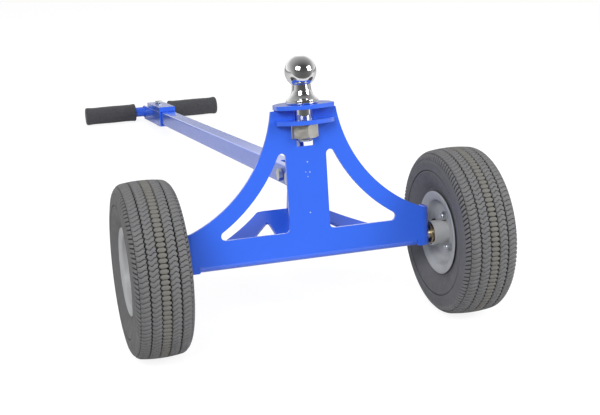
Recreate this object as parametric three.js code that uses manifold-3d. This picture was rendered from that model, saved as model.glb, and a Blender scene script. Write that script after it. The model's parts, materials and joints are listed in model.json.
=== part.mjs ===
// A two-wheeled hand dolly that moves a small trailer by its coupler.
// Units are millimetres and +Z is up. The axle lies along X and the handle runs towards +Y.
import * as THREE from 'three';
import { mergeVertices } from 'three/addons/utils/BufferGeometryUtils.js';
import Module from 'manifold-3d';

const wasm = await Module();
wasm.setup();

// ---- Driving dimensions ----
const GAP = 0.3;

const TYRE_RADIUS = 132.5;
const TYRE_WIDTH = 87;
const HALF_TRACK = 248.5;
const TREAD_HALF = 33;
const BEAD_RADIUS = 56;
const BEAD_OFFSET = 32;

const RIM_FLANGE_RADIUS = 66.5;
const RIM_FLANGE_OFFSET = 35;
const RIM_SEAT_RADIUS = 54.5;
const RIM_SEAT_OFFSET = 20;
const RIM_SHEET = 2.4;
const RIM_DISC_RADIUS = 45;
const RIM_DISC_OFFSET = -19.5;
const RIM_CONE_RADIUS = 49.5;
const RIM_CONE_DEPTH = 20;
const WHEEL_BOLTS = 3;
const WHEEL_BOLT_CIRCLE = 28.5;
const WHEEL_BOLT_START = THREE.MathUtils.degToRad(97);
const VALVE_CIRCLE = 36;
const VALVE_TURN = THREE.MathUtils.degToRad(5);

const HUB_RADIUS = 19.5;
const HUB_INNER_END = 202.3;
const HUB_OUTER_END = 259.5;
const BEARING_RADIUS = 17.4;
const BEARING_WIDTH = 11;
const BEARING_INSET = 1.5;
const BEARING_RING = 3;

const AXLE_RADIUS = 7.9;
const AXLE_END = 269.5;
const WASHER_RADIUS = 15;
const WASHER_SHEET = 2.4;
const COTTER_RADIUS = 1.6;
const COTTER_HALF = 12;

const PLATE = 4.8;
const FACE_BACK = -(AXLE_RADIUS + GAP);
const FACE_FRONT = FACE_BACK - PLATE;
const BEND_INNER = 5.2;
const BEND_HALF_LENGTH = 174;
const END_BEND_OUTER = 15;
const END_FLANGE_OUTSIDE = 198.8;
const END_FLANGE_REACH = 23;
const END_FLANGE_TOP = 47;
const FACE_TOP = 217;
const FACE_CORNER = 4;
const COLUMN_HALF = 32;
const WINDOW_SILL = 30.8;
const WINDOW_TIP = 6.5;
const WINDOW_HEEL = 7;
const WINDOW_FOOT = 7;
const OUTER_ARC = { x: 265.25, z: 248, r: 216.4 };
const INNER_ARC = { x: 270.2, z: 253.2, r: 248.6 };

const SLOT_HALF = 13.4;
const SLOT_BOTTOM = 161;
const NUT_POCKET_HALF = 20.5;

const LOWER_ANGLE = THREE.MathUtils.degToRad(26);
const LOWER_DEPTH = 124;
const LOWER_REAR_HALF = 50;
const LOWER_SIDE_START = 24;
const LOWER_SIDE_BOW = 7;
const LOWER_OPENING = [[33, 27], [106, 27], [72, 60], [40, 97]];
const LOWER_OPENING_CORNER = 6;

const BALL_AXIS = -10;
const BALL_CENTRE = 273;
const BALL_RADIUS = 23.8;
const BALL_SEAT = 225;
const BALL_FLAT = 8.5;
const BALL_NECK = 14.2;
const BALL_FLANGE = 24.5;
const BALL_PLATE = 6.35;
const BALL_PLATE_HALF = 45;
const BALL_PLATE_PITCH = 23;
const SHANK_RADIUS = 12.7;
const SHANK_LENGTH = 57;
const NUT_FLATS = 38.1;
const NUT_HEIGHT = 22;

const RIB = 6.35;
const RIB_REAR_BOTTOM = 103.5;
const RIB_REAR_TOP = 47;
const RIB_ARM = 7;

const HANDLE_HEIGHT = 108.4;
const HANDLE_TUBE = 31.75;
const HANDLE_WALL = 2.6;
const HANDLE_FRONT = -4;
const HANDLE_BOLTS = [26, 71];
const HANDLE_SLOT_HALF = 4.4;
const HANDLE_SLOT_END = 118;
const HANDLE_END_GAP = 12;

const BAR_REACH = 1380;
const BAR_RADIUS = 12.7;
const BAR_HALF = 177;
const GRIP_RADIUS = 23.6;
const GRIP_LENGTH = 134;
const BRACKET_SHEET = 4;
const BRACKET_LENGTH = 240;
const BRACKET_TAIL = 9;
const CAP_LENGTH = 182;
const CAP_HEIGHT = 12;
const BRACKET_BOLT = 118;

// Stock fasteners: shank radius, width across flats, head height and nut height.
const M10 = { shank: 5, flats: 17, head: 7, nut: 8.5, spare: 11 };
const M8 = { shank: 4, flats: 13, head: 5, nut: 6.5, spare: 9 };

// The handle slopes down until its grips rest on the floor, and the whole frame turns with it.
const TILT = Math.asin((TYRE_RADIUS - GRIP_RADIUS) / Math.hypot(BAR_REACH, HANDLE_HEIGHT))
  + Math.atan2(HANDLE_HEIGHT, BAR_REACH);

// ---- Finishes ----
function finish(color, roughness, metalness) {
  return new THREE.MeshStandardMaterial({ color, roughness, metalness });
}

const BLUE = () => finish(0x2f66e0, 0.35, 0.0);
const CHROME = () => finish(0xd8d8da, 0.08, 1.0);
const STEEL = () => finish(0xb4b0a4, 0.35, 0.9);
const ZINC = () => finish(0xc9b98a, 0.35, 0.8);
const RIM_GREY = () => finish(0xa6a8ac, 0.4, 0.2);
const RUBBER = () => finish(0x55575a, 0.85, 0.0);
const FOAM = () => finish(0x3f4045, 0.95, 0.0);

// ---- Shape helpers ----
const v2 = (x, y) => new THREE.Vector2(x, y);
const WELD_DISTANCE = 1e-4;
const DRILL_LENGTH = 120;

function solid(geometry) {
  const bare = geometry.clone();
  bare.deleteAttribute('normal');
  bare.deleteAttribute('uv');
  const merged = mergeVertices(bare, WELD_DISTANCE);
  return new wasm.Manifold(new wasm.Mesh({
    numProp: 3,
    vertProperties: new Float32Array(merged.attributes.position.array),
    triVerts: new Uint32Array(merged.index.array),
  }));
}

function mesh(name, shape, material) {
  let geometry = shape;
  if (!shape.isBufferGeometry) {
    const data = shape.getMesh();
    const places = new Float32Array(data.vertProperties);
    geometry = new THREE.BufferGeometry();
    geometry.setAttribute('position', new THREE.BufferAttribute(places, 3));
    geometry.setIndex(new THREE.BufferAttribute(new Uint32Array(data.triVerts), 1));
    geometry.computeVertexNormals();
  }
  const result = new THREE.Mesh(geometry, material);
  result.name = name;
  return result;
}

// Points along a circular arc, both ends included.
function arc(cx, cy, r, from, to, steps) {
  const points = [];
  for (let i = 0; i <= steps; i += 1) {
    const angle = from + (to - from) * i / steps;
    points.push(v2(cx + r * Math.cos(angle), cy + r * Math.sin(angle)));
  }
  return points;
}

// Points of the arc from p to q that bows sideways by the given rise.
function bow(p, q, rise, steps) {
  const half = p.distanceTo(q) / 2;
  const r = (half * half + rise * rise) / (2 * Math.abs(rise));
  const along = q.clone().sub(p).normalize();
  const side = v2(-along.y, along.x).multiplyScalar(Math.sign(rise));
  const centre = p.clone().add(q).multiplyScalar(0.5);
  centre.add(side.multiplyScalar(Math.abs(rise) - r));
  const start = Math.atan2(p.y - centre.y, p.x - centre.x);
  const end = Math.atan2(q.y - centre.y, q.x - centre.x);
  const turn = Math.atan2(Math.sin(end - start), Math.cos(end - start));
  return arc(centre.x, centre.y, r, start, start + turn, steps);
}

// A closed outline whose corners are rounded by cutting each one back and curving across it.
function rounded(corners, cut, steps = 3) {
  const points = [];
  corners.forEach((corner, i) => {
    const before = corners[(i + corners.length - 1) % corners.length];
    const after = corners[(i + 1) % corners.length];
    const a = corner.clone().add(before.clone().sub(corner).setLength(cut));
    const b = corner.clone().add(after.clone().sub(corner).setLength(cut));
    points.push(...new THREE.QuadraticBezierCurve(a, corner, b).getPoints(steps));
  });
  return points;
}

// The right half of an outline, from its middle to its middle, with its mirror image added.
function mirrored(right) {
  const left = right.filter((p) => Math.abs(p.x) > 1e-6).map((p) => v2(-p.x, p.y)).reverse();
  return [...right, ...left];
}

function slab(points, thickness, holes = []) {
  const shape = new THREE.Shape(points);
  shape.holes = holes.map((hole) => new THREE.Path(hole));
  return new THREE.ExtrudeGeometry(shape, { depth: thickness, bevelEnabled: false });
}

// Outlines drawn in X and Z, extruded so that the slab fills y0 to y0 + thickness.
const upright = (points, y0, thickness, holes) => slab(points, thickness, holes)
  .rotateX(Math.PI / 2).translate(0, y0 + thickness, 0);

// Outlines drawn in X and Y, extruded upwards from z0.
const level = (points, z0, thickness, holes) => slab(points, thickness, holes).translate(0, 0, z0);

// Outlines drawn in Y and Z, extruded along X from x0.
const ACROSS = new THREE.Matrix4().makeBasis(
  new THREE.Vector3(0, 1, 0),
  new THREE.Vector3(0, 0, 1),
  new THREE.Vector3(1, 0, 0),
);
const across = (points, x0, thickness, holes) => slab(points, thickness, holes)
  .applyMatrix4(ACROSS).translate(x0, 0, 0);

const box = (x0, x1, y0, y1, z0, z1) => new THREE.BoxGeometry(x1 - x0, y1 - y0, z1 - z0)
  .translate((x0 + x1) / 2, (y0 + y1) / 2, (z0 + z1) / 2);

const circle = (cx, cy, r, steps) => arc(cx, cy, r, 0, 2 * Math.PI * (1 - 1 / steps), steps - 1);

const hexagon = (flats, turn = 0) => circle(0, 0, flats / Math.sqrt(3), 6)
  .map((p) => p.rotateAround(v2(0, 0), turn));

// Lathe profiles are lists of [radius, height]; they start and end on the axis or close on themselves.
const turned = (profile, steps) => new THREE.LatheGeometry(profile.map(([r, h]) => v2(r, h)), steps)
  .rotateX(Math.PI / 2);

// The same, with the axis along X and heights measured along X.
const turnedAcross = (profile, steps) => new THREE.LatheGeometry(profile.map(([r, h]) => v2(r, h)), steps)
  .rotateZ(-Math.PI / 2);

function sleeve(inner, outer, from, to) {
  return [[inner, from], [outer, from], [outer, to], [inner, to], [inner, from]];
}

function rod(radius, from, to, steps) {
  return turnedAcross([[0, from], [radius, from], [radius, to], [0, to]], steps);
}

// A hexagon bolt along +Z: the head stands below z = 0 and the shank above it. The shank
// clamps the given thickness and its end stands out past the nut.
function bolt(size, clamped) {
  const length = clamped + size.spare;
  const root = 0.5;
  const head = level(hexagon(size.flats), -size.head, size.head);
  const shank = new THREE.CylinderGeometry(size.shank, size.shank, length + root, 8)
    .rotateX(Math.PI / 2).translate(0, 0, (length - root) / 2);
  return solid(head).add(solid(shank));
}

function nut(size) {
  return level(hexagon(size.flats), 0, size.nut, [circle(0, 0, size.shank + GAP, 8)]);
}

// The same solid with an upright bolt hole through it at a distance y back.
function bored(shape, y) {
  const radius = M10.shank + GAP;
  const drill = new THREE.CylinderGeometry(radius, radius, DRILL_LENGTH, 12)
    .rotateX(Math.PI / 2).translate(0, y, 0);
  return shape.subtract(solid(drill));
}

// The same solid with the handle's cross holes through it, at a height z.
function crossBored(shape, z) {
  const radius = M10.shank + GAP;
  return HANDLE_BOLTS.reduce((rest, y) => {
    const drill = rod(radius, -DRILL_LENGTH / 2, DRILL_LENGTH / 2, 16).translate(0, y, z);
    return rest.subtract(solid(drill));
  }, shape);
}

// ---- Body: one sheet with a tall face, a bent-up lower plate and two bent-back ends ----
const NUT_TOP = BALL_SEAT - BALL_PLATE_PITCH - BALL_PLATE - GAP;
const NUT_FOOT = NUT_TOP - NUT_HEIGHT;

// The right half of the face: foot, end, brace, top corner, then the slot round shank and nut.
function faceOutline() {
  const bottom = bendCentre().z;
  const foot = bottom - BEND_INNER - PLATE;
  const endX = END_FLANGE_OUTSIDE - END_BEND_OUTER;
  const cornerZ = FACE_TOP - FACE_CORNER;
  const cornerX = OUTER_ARC.x - Math.sqrt(OUTER_ARC.r ** 2 - (OUTER_ARC.z - cornerZ) ** 2);
  const braceFrom = Math.atan2(END_FLANGE_TOP - OUTER_ARC.z, endX - OUTER_ARC.x) + 2 * Math.PI;
  const braceTo = Math.atan2(cornerZ - OUTER_ARC.z, cornerX - OUTER_ARC.x) + 2 * Math.PI;
  const slit = 3;
  const taper = 7;
  return mirrored([
    v2(0, bottom),
    v2(BEND_HALF_LENGTH + 1, bottom),
    v2(BEND_HALF_LENGTH + slit, foot + 1),
    v2(endX, foot),
    ...arc(OUTER_ARC.x, OUTER_ARC.z, OUTER_ARC.r, braceFrom, braceTo, 14),
    v2(cornerX - FACE_CORNER / 4, FACE_TOP - FACE_CORNER / 4),
    v2(cornerX - FACE_CORNER, FACE_TOP),
    v2(SLOT_HALF, FACE_TOP),
    v2(SLOT_HALF, NUT_TOP + 2 * GAP),
    v2(NUT_POCKET_HALF, NUT_TOP + GAP),
    v2(NUT_POCKET_HALF, NUT_FOOT + 1),
    v2(SLOT_HALF, NUT_FOOT - taper),
    v2(SLOT_HALF, SLOT_BOTTOM),
    v2(0, SLOT_BOTTOM),
  ]);
}

// The centre of the bottom bend sits so that face and lower plate both clear the axle by the gap.
function bendCentre() {
  const y = FACE_BACK + BEND_INNER;
  const away = AXLE_RADIUS + GAP - BEND_INNER;
  const z = (y * Math.sin(LOWER_ANGLE) - away) / Math.cos(LOWER_ANGLE);
  return { y, z };
}

// An arched window: straight along the column and the sill, curved along the brace.
function windowOutline() {
  const { x, z, r } = INNER_ARC;
  const tipX = COLUMN_HALF + WINDOW_TIP;
  const tipZ = z - Math.sqrt((r + WINDOW_TIP) ** 2 - (x - tipX) ** 2);
  const heelZ = WINDOW_SILL + WINDOW_HEEL;
  const heelX = x - Math.sqrt((r + WINDOW_HEEL) ** 2 - (z - heelZ) ** 2);
  const tipAngle = Math.atan2(z - tipZ, x - tipX);
  const heelAngle = Math.atan2(z - heelZ, x - heelX);
  const footX = COLUMN_HALF + WINDOW_FOOT;
  const footZ = WINDOW_SILL + WINDOW_FOOT;
  return [
    ...arc(tipX, tipZ, WINDOW_TIP, Math.PI, tipAngle, 5),
    ...arc(x, z, r, Math.PI + tipAngle, Math.PI + heelAngle, 14).slice(1),
    ...arc(heelX, heelZ, WINDOW_HEEL, heelAngle, -Math.PI / 2, 6).slice(1),
    ...arc(footX, footZ, WINDOW_FOOT, -Math.PI / 2, -Math.PI, 5),
  ];
}

const flipped = (points) => points.map((p) => v2(-p.x, p.y));

function lowerPlate() {
  const front = v2(BEND_HALF_LENGTH, LOWER_SIDE_START);
  const rear = v2(LOWER_REAR_HALF, LOWER_DEPTH);
  const outline = mirrored([
    v2(0, 0),
    v2(BEND_HALF_LENGTH, 0),
    ...bow(front, rear, LOWER_SIDE_BOW, 10),
    v2(0, LOWER_DEPTH),
  ]);
  const opening = rounded(LOWER_OPENING.map(([x, y]) => v2(x, y)), LOWER_OPENING_CORNER);
  const centre = bendCentre();
  const outer = BEND_INNER + PLATE;
  return slab(outline, PLATE, [opening, flipped(opening)])
    .rotateX(LOWER_ANGLE)
    .translate(0, centre.y + outer * Math.sin(LOWER_ANGLE), centre.z - outer * Math.cos(LOWER_ANGLE));
}

function bottomBend() {
  const { y, z } = bendCentre();
  const end = 1.5 * Math.PI + LOWER_ANGLE;
  const profile = [
    ...arc(y, z, BEND_INNER + PLATE, Math.PI, end, 6),
    ...arc(y, z, BEND_INNER, end, Math.PI, 5),
  ];
  return across(profile, -BEND_HALF_LENGTH, 2 * BEND_HALF_LENGTH);
}

function endFlange() {
  const x = END_FLANGE_OUTSIDE - END_BEND_OUTER;
  const y = FACE_FRONT + END_BEND_OUTER;
  const inner = END_BEND_OUTER - PLATE;
  const bottom = bendCentre().z - BEND_INNER - PLATE;
  const section = [
    ...arc(x, y, END_BEND_OUTER, -Math.PI / 2, 0, 5),
    v2(END_FLANGE_OUTSIDE, END_FLANGE_REACH),
    v2(END_FLANGE_OUTSIDE - PLATE, END_FLANGE_REACH),
    ...arc(x, y, inner, 0, -Math.PI / 2, 4),
  ];
  return solid(level(section, bottom, END_FLANGE_TOP - bottom));
}

function bodyPlate() {
  const opening = windowOutline();
  let sheet = solid(upright(faceOutline(), FACE_FRONT, PLATE, [opening, flipped(opening)]));
  sheet = sheet.add(solid(bottomBend()));
  sheet = sheet.add(solid(lowerPlate()));
  const flange = endFlange();
  sheet = sheet.add(flange).add(flange.mirror([1, 0, 0]));
  return sheet.subtract(solid(rod(AXLE_RADIUS + GAP, -AXLE_END, AXLE_END, 16)));
}

// ---- The two ball plates and the rib behind the face ----
const shankHole = () => circle(0, BALL_AXIS, SHANK_RADIUS + GAP, 24);

// An arc across the dolly, from left to right, at the given y and bowed away from it.
const acrossArc = (y, rise, steps) => bow(v2(-BALL_PLATE_HALF, y), v2(BALL_PLATE_HALF, y), rise, steps);

function upperBallPlate() {
  const rear = acrossArc(-4, 36, 14).reverse();
  const front = acrossArc(-26, -17, 12);
  return level([...rear, ...front], BALL_SEAT - BALL_PLATE, BALL_PLATE, [shankHole()]);
}

// The lower plate stops at the face, apart from a tongue that reaches back through the slot.
function lowerBallPlate() {
  const faceSide = FACE_FRONT - GAP;
  const tongueHalf = SLOT_HALF - GAP;
  const tongueEnd = 17;
  const base = BALL_SEAT - BALL_PLATE_PITCH - BALL_PLATE;
  const outline = [
    ...acrossArc(-22, -21, 12),
    v2(BALL_PLATE_HALF, faceSide),
    v2(tongueHalf, faceSide),
    v2(tongueHalf, tongueEnd),
    v2(-tongueHalf, tongueEnd),
    v2(-tongueHalf, faceSide),
    v2(-BALL_PLATE_HALF, faceSide),
  ];
  const drill = level(shankHole(), base - 1, BALL_PLATE + 2);
  return solid(level(outline, base, BALL_PLATE)).subtract(solid(drill));
}

function spineRib() {
  const centre = bendCentre();
  const slope = Math.tan(LOWER_ANGLE);
  const rise = centre.z - BEND_INNER / Math.cos(LOWER_ANGLE) - centre.y * slope + GAP * 1.2;
  const onPlate = (y) => rise + y * slope;
  const front = FACE_BACK + GAP;
  const clear = AXLE_RADIUS + GAP;
  const top = BALL_SEAT - BALL_PLATE - GAP;
  const notch = clear + 1;
  const behindNut = BALL_AXIS + NUT_FLATS / Math.sqrt(3) + RIB_ARM;
  const outline = [
    v2(front, notch),
    v2(notch, notch),
    v2(notch, onPlate(notch)),
    v2(RIB_REAR_BOTTOM, onPlate(RIB_REAR_BOTTOM)),
    v2(RIB_REAR_TOP, top),
    v2(behindNut, top),
    v2(behindNut, SLOT_BOTTOM + 12),
    v2(5, SLOT_BOTTOM + 2),
    v2(5, SLOT_BOTTOM - RIB_ARM),
    v2(front, SLOT_BOTTOM - RIB_ARM),
  ];
  return crossBored(solid(across(outline, -RIB / 2, RIB)), HANDLE_HEIGHT);
}

// ---- Hitch ball and its nut ----
function hitchBall() {
  const topAngle = Math.acos(BALL_FLAT / BALL_RADIUS);
  const neckAngle = -Math.acos(BALL_NECK / BALL_RADIUS);
  const sphere = arc(0, BALL_CENTRE, BALL_RADIUS, neckAngle, topAngle, 10).map((p) => [p.x, p.y]);
  const seat = BALL_SEAT + GAP;
  const tip = seat - SHANK_LENGTH;
  const chamfer = 1.5;
  return turned([
    [0, tip],
    [SHANK_RADIUS - chamfer, tip],
    [SHANK_RADIUS, tip + chamfer],
    [SHANK_RADIUS, seat],
    [BALL_FLANGE, seat],
    [BALL_FLANGE, seat + 6.5],
    [21, seat + 8],
    [17, seat + 12],
    [BALL_NECK + 0.4, seat + 19],
    ...sphere,
    [0, BALL_CENTRE + BALL_RADIUS * Math.sin(topAngle)],
  ], 24).translate(0, BALL_AXIS, 0);
}

function hitchNut() {
  const bore = circle(0, 0, SHANK_RADIUS + GAP, 24);
  const block = level(hexagon(NUT_FLATS, Math.PI / 2), 0, NUT_HEIGHT, [bore]);
  const corner = NUT_FLATS / Math.sqrt(3) + 0.2;
  const chamfer = 1.8;
  const envelope = turned([
    [0, 0],
    [NUT_FLATS / 2, 0],
    [corner, chamfer],
    [corner, NUT_HEIGHT - chamfer],
    [NUT_FLATS / 2, NUT_HEIGHT],
    [0, NUT_HEIGHT],
  ], 24);
  return solid(block).intersect(solid(envelope)).translate([0, BALL_AXIS, NUT_FOOT]);
}

// ---- Handle ----
function handleTube() {
  const half = HANDLE_TUBE / 2;
  const end = BAR_REACH - BAR_RADIUS - HANDLE_END_GAP;
  const bore = square(half - HANDLE_WALL, 1.2);
  const section = upright(square(half, 3), HANDLE_FRONT, end - HANDLE_FRONT, [bore]);
  const width = HANDLE_SLOT_HALF;
  const cut = [
    v2(-width, HANDLE_FRONT - 1),
    v2(width, HANDLE_FRONT - 1),
    ...arc(0, HANDLE_SLOT_END - width, width, 0, Math.PI, 6),
  ];
  const slotted = solid(section).subtract(solid(level(cut, -HANDLE_TUBE, 2 * HANDLE_TUBE)));
  return bored(crossBored(slotted, 0), BAR_REACH - BRACKET_BOLT).translate([0, 0, HANDLE_HEIGHT]);
}

function square(half, cut) {
  return rounded([v2(-half, -half), v2(half, -half), v2(half, half), v2(-half, half)], cut);
}

// The open channel that carries the T bar: a web under the tube and a flange up each of its sides.
function barBracket() {
  const inside = HANDLE_TUBE / 2 + GAP;
  const outside = inside + BRACKET_SHEET;
  const front = BAR_REACH - BRACKET_LENGTH;
  const back = BAR_REACH + BRACKET_TAIL;
  const section = [
    v2(-outside, -outside),
    v2(outside, -outside),
    v2(outside, inside - GAP),
    v2(inside, inside - GAP),
    v2(inside, -inside),
    v2(-inside, -inside),
    v2(-inside, inside - GAP),
    v2(-outside, inside - GAP),
  ];
  const barHole = rod(BAR_RADIUS + GAP, -DRILL_LENGTH / 2, DRILL_LENGTH / 2, 20).translate(0, BAR_REACH, 0);
  const channel = solid(upright(section, front, back - front)).subtract(solid(barHole));
  return bored(channel, BAR_REACH - BRACKET_BOLT).translate([0, 0, HANDLE_HEIGHT]);
}

// The cap that closes the bracket: a shallow channel, open below, with a bent-down front lip.
function bracketCap() {
  const half = HANDLE_TUBE / 2 + GAP + BRACKET_SHEET;
  const base = HANDLE_TUBE / 2 + GAP;
  const front = BAR_REACH - BRACKET_LENGTH;
  const back = front + CAP_LENGTH;
  const inside = half - BRACKET_SHEET;
  const roof = base + CAP_HEIGHT;
  const shell = solid(box(-half, half, front, back, base, roof));
  const hollow = box(-inside, inside, front + BRACKET_SHEET, back + 1, base - 1, roof - BRACKET_SHEET);
  const channel = shell.subtract(solid(hollow));
  return bored(channel, BAR_REACH - BRACKET_BOLT).translate([0, 0, HANDLE_HEIGHT]);
}

// The foam tube has a closed outer end and flares a little at both ends.
function grip(side) {
  const outer = GRIP_RADIUS;
  const waist = outer - 1.2;
  const end = BAR_HALF + 2.5;
  const start = end - GRIP_LENGTH;
  const bore = BAR_RADIUS + GAP;
  const profile = [
    [bore, start],
    [outer - 2, start],
    [outer, start + 2.5],
    [waist, start + 14],
    [waist, end - 16],
    [outer, end - 4],
    [outer - 2.5, end],
    [0, end],
    [0, BAR_HALF + GAP],
    [bore, BAR_HALF + GAP],
    [bore, start],
  ];
  const foam = turnedAcross(profile, 20);
  if (side < 0) {
    foam.rotateZ(Math.PI);
  }
  return foam.translate(0, BAR_REACH, HANDLE_HEIGHT);
}

// ---- Wheel: tyre, two-piece rim, hub, bearings and rim bolts, built about its own centre ----
function tyre() {
  const half = TYRE_WIDTH / 2;
  const shoulder = [TYRE_RADIUS - 6, TREAD_HALF + 2];
  const side = [
    [TYRE_RADIUS, 0],
    [TYRE_RADIUS - 1.8, TREAD_HALF * 0.8],
    shoulder,
    [TYRE_RADIUS - 15, half - 2.5],
    [TYRE_RADIUS - 31, half],
    [TYRE_RADIUS - 52, half - 5],
    [RIM_FLANGE_RADIUS + 1.5, BEAD_OFFSET],
    [BEAD_RADIUS, BEAD_OFFSET - 3],
  ];
  const inside = [
    [TYRE_RADIUS - 46, half - 10],
    [TYRE_RADIUS - 20, half - 10],
    [TYRE_RADIUS - 10, TREAD_HALF * 0.6],
  ];
  const right = [...side, ...inside];
  const left = right.map(([r, x]) => [r, -x]).reverse();
  const profile = [...right, ...left.slice(1, -1), right[0]];
  return turnedAcross(profile, 40).rotateX(Math.PI);
}

// The deep outer half of the rim: disc, cone, bead seat, flange and back along the inside.
function outerRimProfile() {
  const disc = RIM_DISC_OFFSET + GAP / 2;
  const lip = RIM_FLANGE_OFFSET;
  return [
    [HUB_RADIUS + GAP, disc],
    [RIM_DISC_RADIUS, disc],
    [RIM_CONE_RADIUS, disc + RIM_CONE_DEPTH],
    [RIM_SEAT_RADIUS, RIM_SEAT_OFFSET],
    [RIM_SEAT_RADIUS + 0.4, lip - 3.5],
    [RIM_FLANGE_RADIUS, lip - 0.5],
    [RIM_FLANGE_RADIUS - 3, lip + 1.2],
    [RIM_SEAT_RADIUS - 1, lip],
    [RIM_SEAT_RADIUS - RIM_SHEET, RIM_SEAT_OFFSET + 1],
    [RIM_CONE_RADIUS - RIM_SHEET, disc + RIM_CONE_DEPTH + 1],
    [RIM_DISC_RADIUS - 2, disc + RIM_SHEET],
    [HUB_RADIUS + GAP, disc + RIM_SHEET],
    [HUB_RADIUS + GAP, disc],
  ];
}

// The shallow inner half of the rim: disc, shoulder, flange and back along the outside.
function innerRimProfile() {
  const disc = RIM_DISC_OFFSET - GAP / 2;
  const lip = -RIM_FLANGE_OFFSET;
  return [
    [HUB_RADIUS + GAP, disc - RIM_SHEET],
    [RIM_DISC_RADIUS, disc - RIM_SHEET],
    [RIM_DISC_RADIUS + 3, disc - RIM_SHEET - 3],
    [RIM_SEAT_RADIUS - RIM_SHEET, lip + 1.5],
    [RIM_FLANGE_RADIUS - 3, lip - 1.2],
    [RIM_FLANGE_RADIUS, lip + 0.5],
    [RIM_SEAT_RADIUS + 0.4, lip + 4],
    [RIM_DISC_RADIUS + 5, disc - 2],
    [RIM_DISC_RADIUS + 2, disc],
    [HUB_RADIUS + GAP, disc],
    [HUB_RADIUS + GAP, disc - RIM_SHEET],
  ];
}

// A stamped half of the rim, with its bolt holes.
function rimHalf(profile) {
  return wheelBoltPlaces().reduce((rest, [y, z]) => {
    const from = RIM_DISC_OFFSET - DRILL_LENGTH / 2;
    const drill = rod(M8.shank + GAP, from, from + DRILL_LENGTH, 8).translate(0, y, z);
    return rest.subtract(solid(drill));
  }, solid(turnedAcross(profile, 24)));
}

function wheelBoltPlaces() {
  const places = [];
  for (let i = 0; i < WHEEL_BOLTS; i += 1) {
    const angle = WHEEL_BOLT_START + 2 * Math.PI * i / WHEEL_BOLTS;
    places.push([WHEEL_BOLT_CIRCLE * Math.cos(angle), WHEEL_BOLT_CIRCLE * Math.sin(angle)]);
  }
  return places;
}

// Local x of a point given by its distance from the middle of the dolly.
const local = (x) => x - HALF_TRACK;

function hub() {
  const from = local(HUB_INNER_END);
  const to = local(HUB_OUTER_END);
  const pocket = BEARING_INSET + BEARING_WIDTH + GAP;
  const seat = BEARING_RADIUS + GAP;
  const core = AXLE_RADIUS + 3;
  return turnedAcross([
    [seat, from],
    [HUB_RADIUS, from],
    [HUB_RADIUS, to],
    [seat, to],
    [seat, to - pocket],
    [core, to - pocket],
    [core, from + pocket],
    [seat, from + pocket],
    [seat, from],
  ], 16);
}

function bearingRace(inner, outer, start) {
  return turnedAcross(sleeve(inner, outer, start, start + BEARING_WIDTH), 16);
}

// The places, measured from the middle of the dolly, where the two bearings of a wheel start.
const BEARING_STARTS = {
  inner: HUB_INNER_END + BEARING_INSET,
  outer: HUB_OUTER_END - BEARING_INSET - BEARING_WIDTH,
};

// A straight rubber valve stem with a cap, standing out of the disc beside the hub.
function valveStem() {
  const foot = RIM_DISC_OFFSET - RIM_SHEET - 2 * GAP;
  return turnedAcross([
    [0, foot],
    [6.5, foot],
    [6.5, foot - 2.5],
    [4, foot - 5],
    [3.6, foot - 12],
    [4.4, foot - 12.5],
    [4.4, foot - 19],
    [3.4, foot - 20.5],
    [0, foot - 20.5],
  ].reverse(), 10);
}

function wheelNodes(prefix) {
  const group = new THREE.Group();
  group.add(mesh(`${prefix}_tyre`, tyre(), RUBBER()));
  group.add(mesh(`${prefix}_rim_outer_half`, rimHalf(outerRimProfile()), RIM_GREY()));
  group.add(mesh(`${prefix}_rim_inner_half`, rimHalf(innerRimProfile()), RIM_GREY()));
  group.add(mesh(`${prefix}_hub`, hub(), RIM_GREY()));
  Object.entries(BEARING_STARTS).forEach(([place, start]) => {
    const race = bearingRace(BEARING_RADIUS - BEARING_RING, BEARING_RADIUS, local(start));
    group.add(mesh(`${prefix}_${place}_bearing_outer_race`, race, STEEL()));
  });
  const valve = mesh(`${prefix}_valve_stem`, valveStem(), RUBBER());
  valve.position.set(0, VALVE_CIRCLE * Math.cos(VALVE_TURN), VALVE_CIRCLE * Math.sin(VALVE_TURN));
  group.add(valve);
  const reach = RIM_SHEET + 2 * GAP;
  wheelBoltPlaces().forEach(([y, z], i) => {
    const head = mesh(`${prefix}_rim_bolt_${i + 1}`, bolt(M8, 2 * reach), ZINC());
    head.rotation.y = -Math.PI / 2;
    head.position.set(RIM_DISC_OFFSET + reach, y, z);
    const lock = mesh(`${prefix}_rim_nut_${i + 1}`, nut(M8), ZINC());
    lock.rotation.y = -Math.PI / 2;
    lock.position.set(RIM_DISC_OFFSET - reach, y, z);
    group.add(head, lock);
  });
  return group;
}

// ---- Assembly ----
const frame = new THREE.Group();
frame.rotation.x = -TILT;

frame.add(mesh('body_plate', bodyPlate(), BLUE()));
frame.add(mesh('ball_plate_upper', upperBallPlate(), BLUE()));
frame.add(mesh('ball_plate_lower', lowerBallPlate(), BLUE()));
frame.add(mesh('spine_rib', spineRib(), BLUE()));
frame.add(mesh('hitch_ball', hitchBall(), CHROME()));
frame.add(mesh('hitch_nut', hitchNut(), STEEL()));
frame.add(mesh('handle_tube', handleTube(), BLUE()));
frame.add(mesh('t_bar_bracket', barBracket(), BLUE()));
frame.add(mesh('t_bar_bracket_cap', bracketCap(), BLUE()));

const tBar = mesh('t_bar', rod(BAR_RADIUS, -BAR_HALF, BAR_HALF, 20), BLUE());
tBar.position.set(0, BAR_REACH, HANDLE_HEIGHT);
frame.add(tBar);
frame.add(mesh('left_grip', grip(-1), FOAM()));
frame.add(mesh('right_grip', grip(1), FOAM()));

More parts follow.
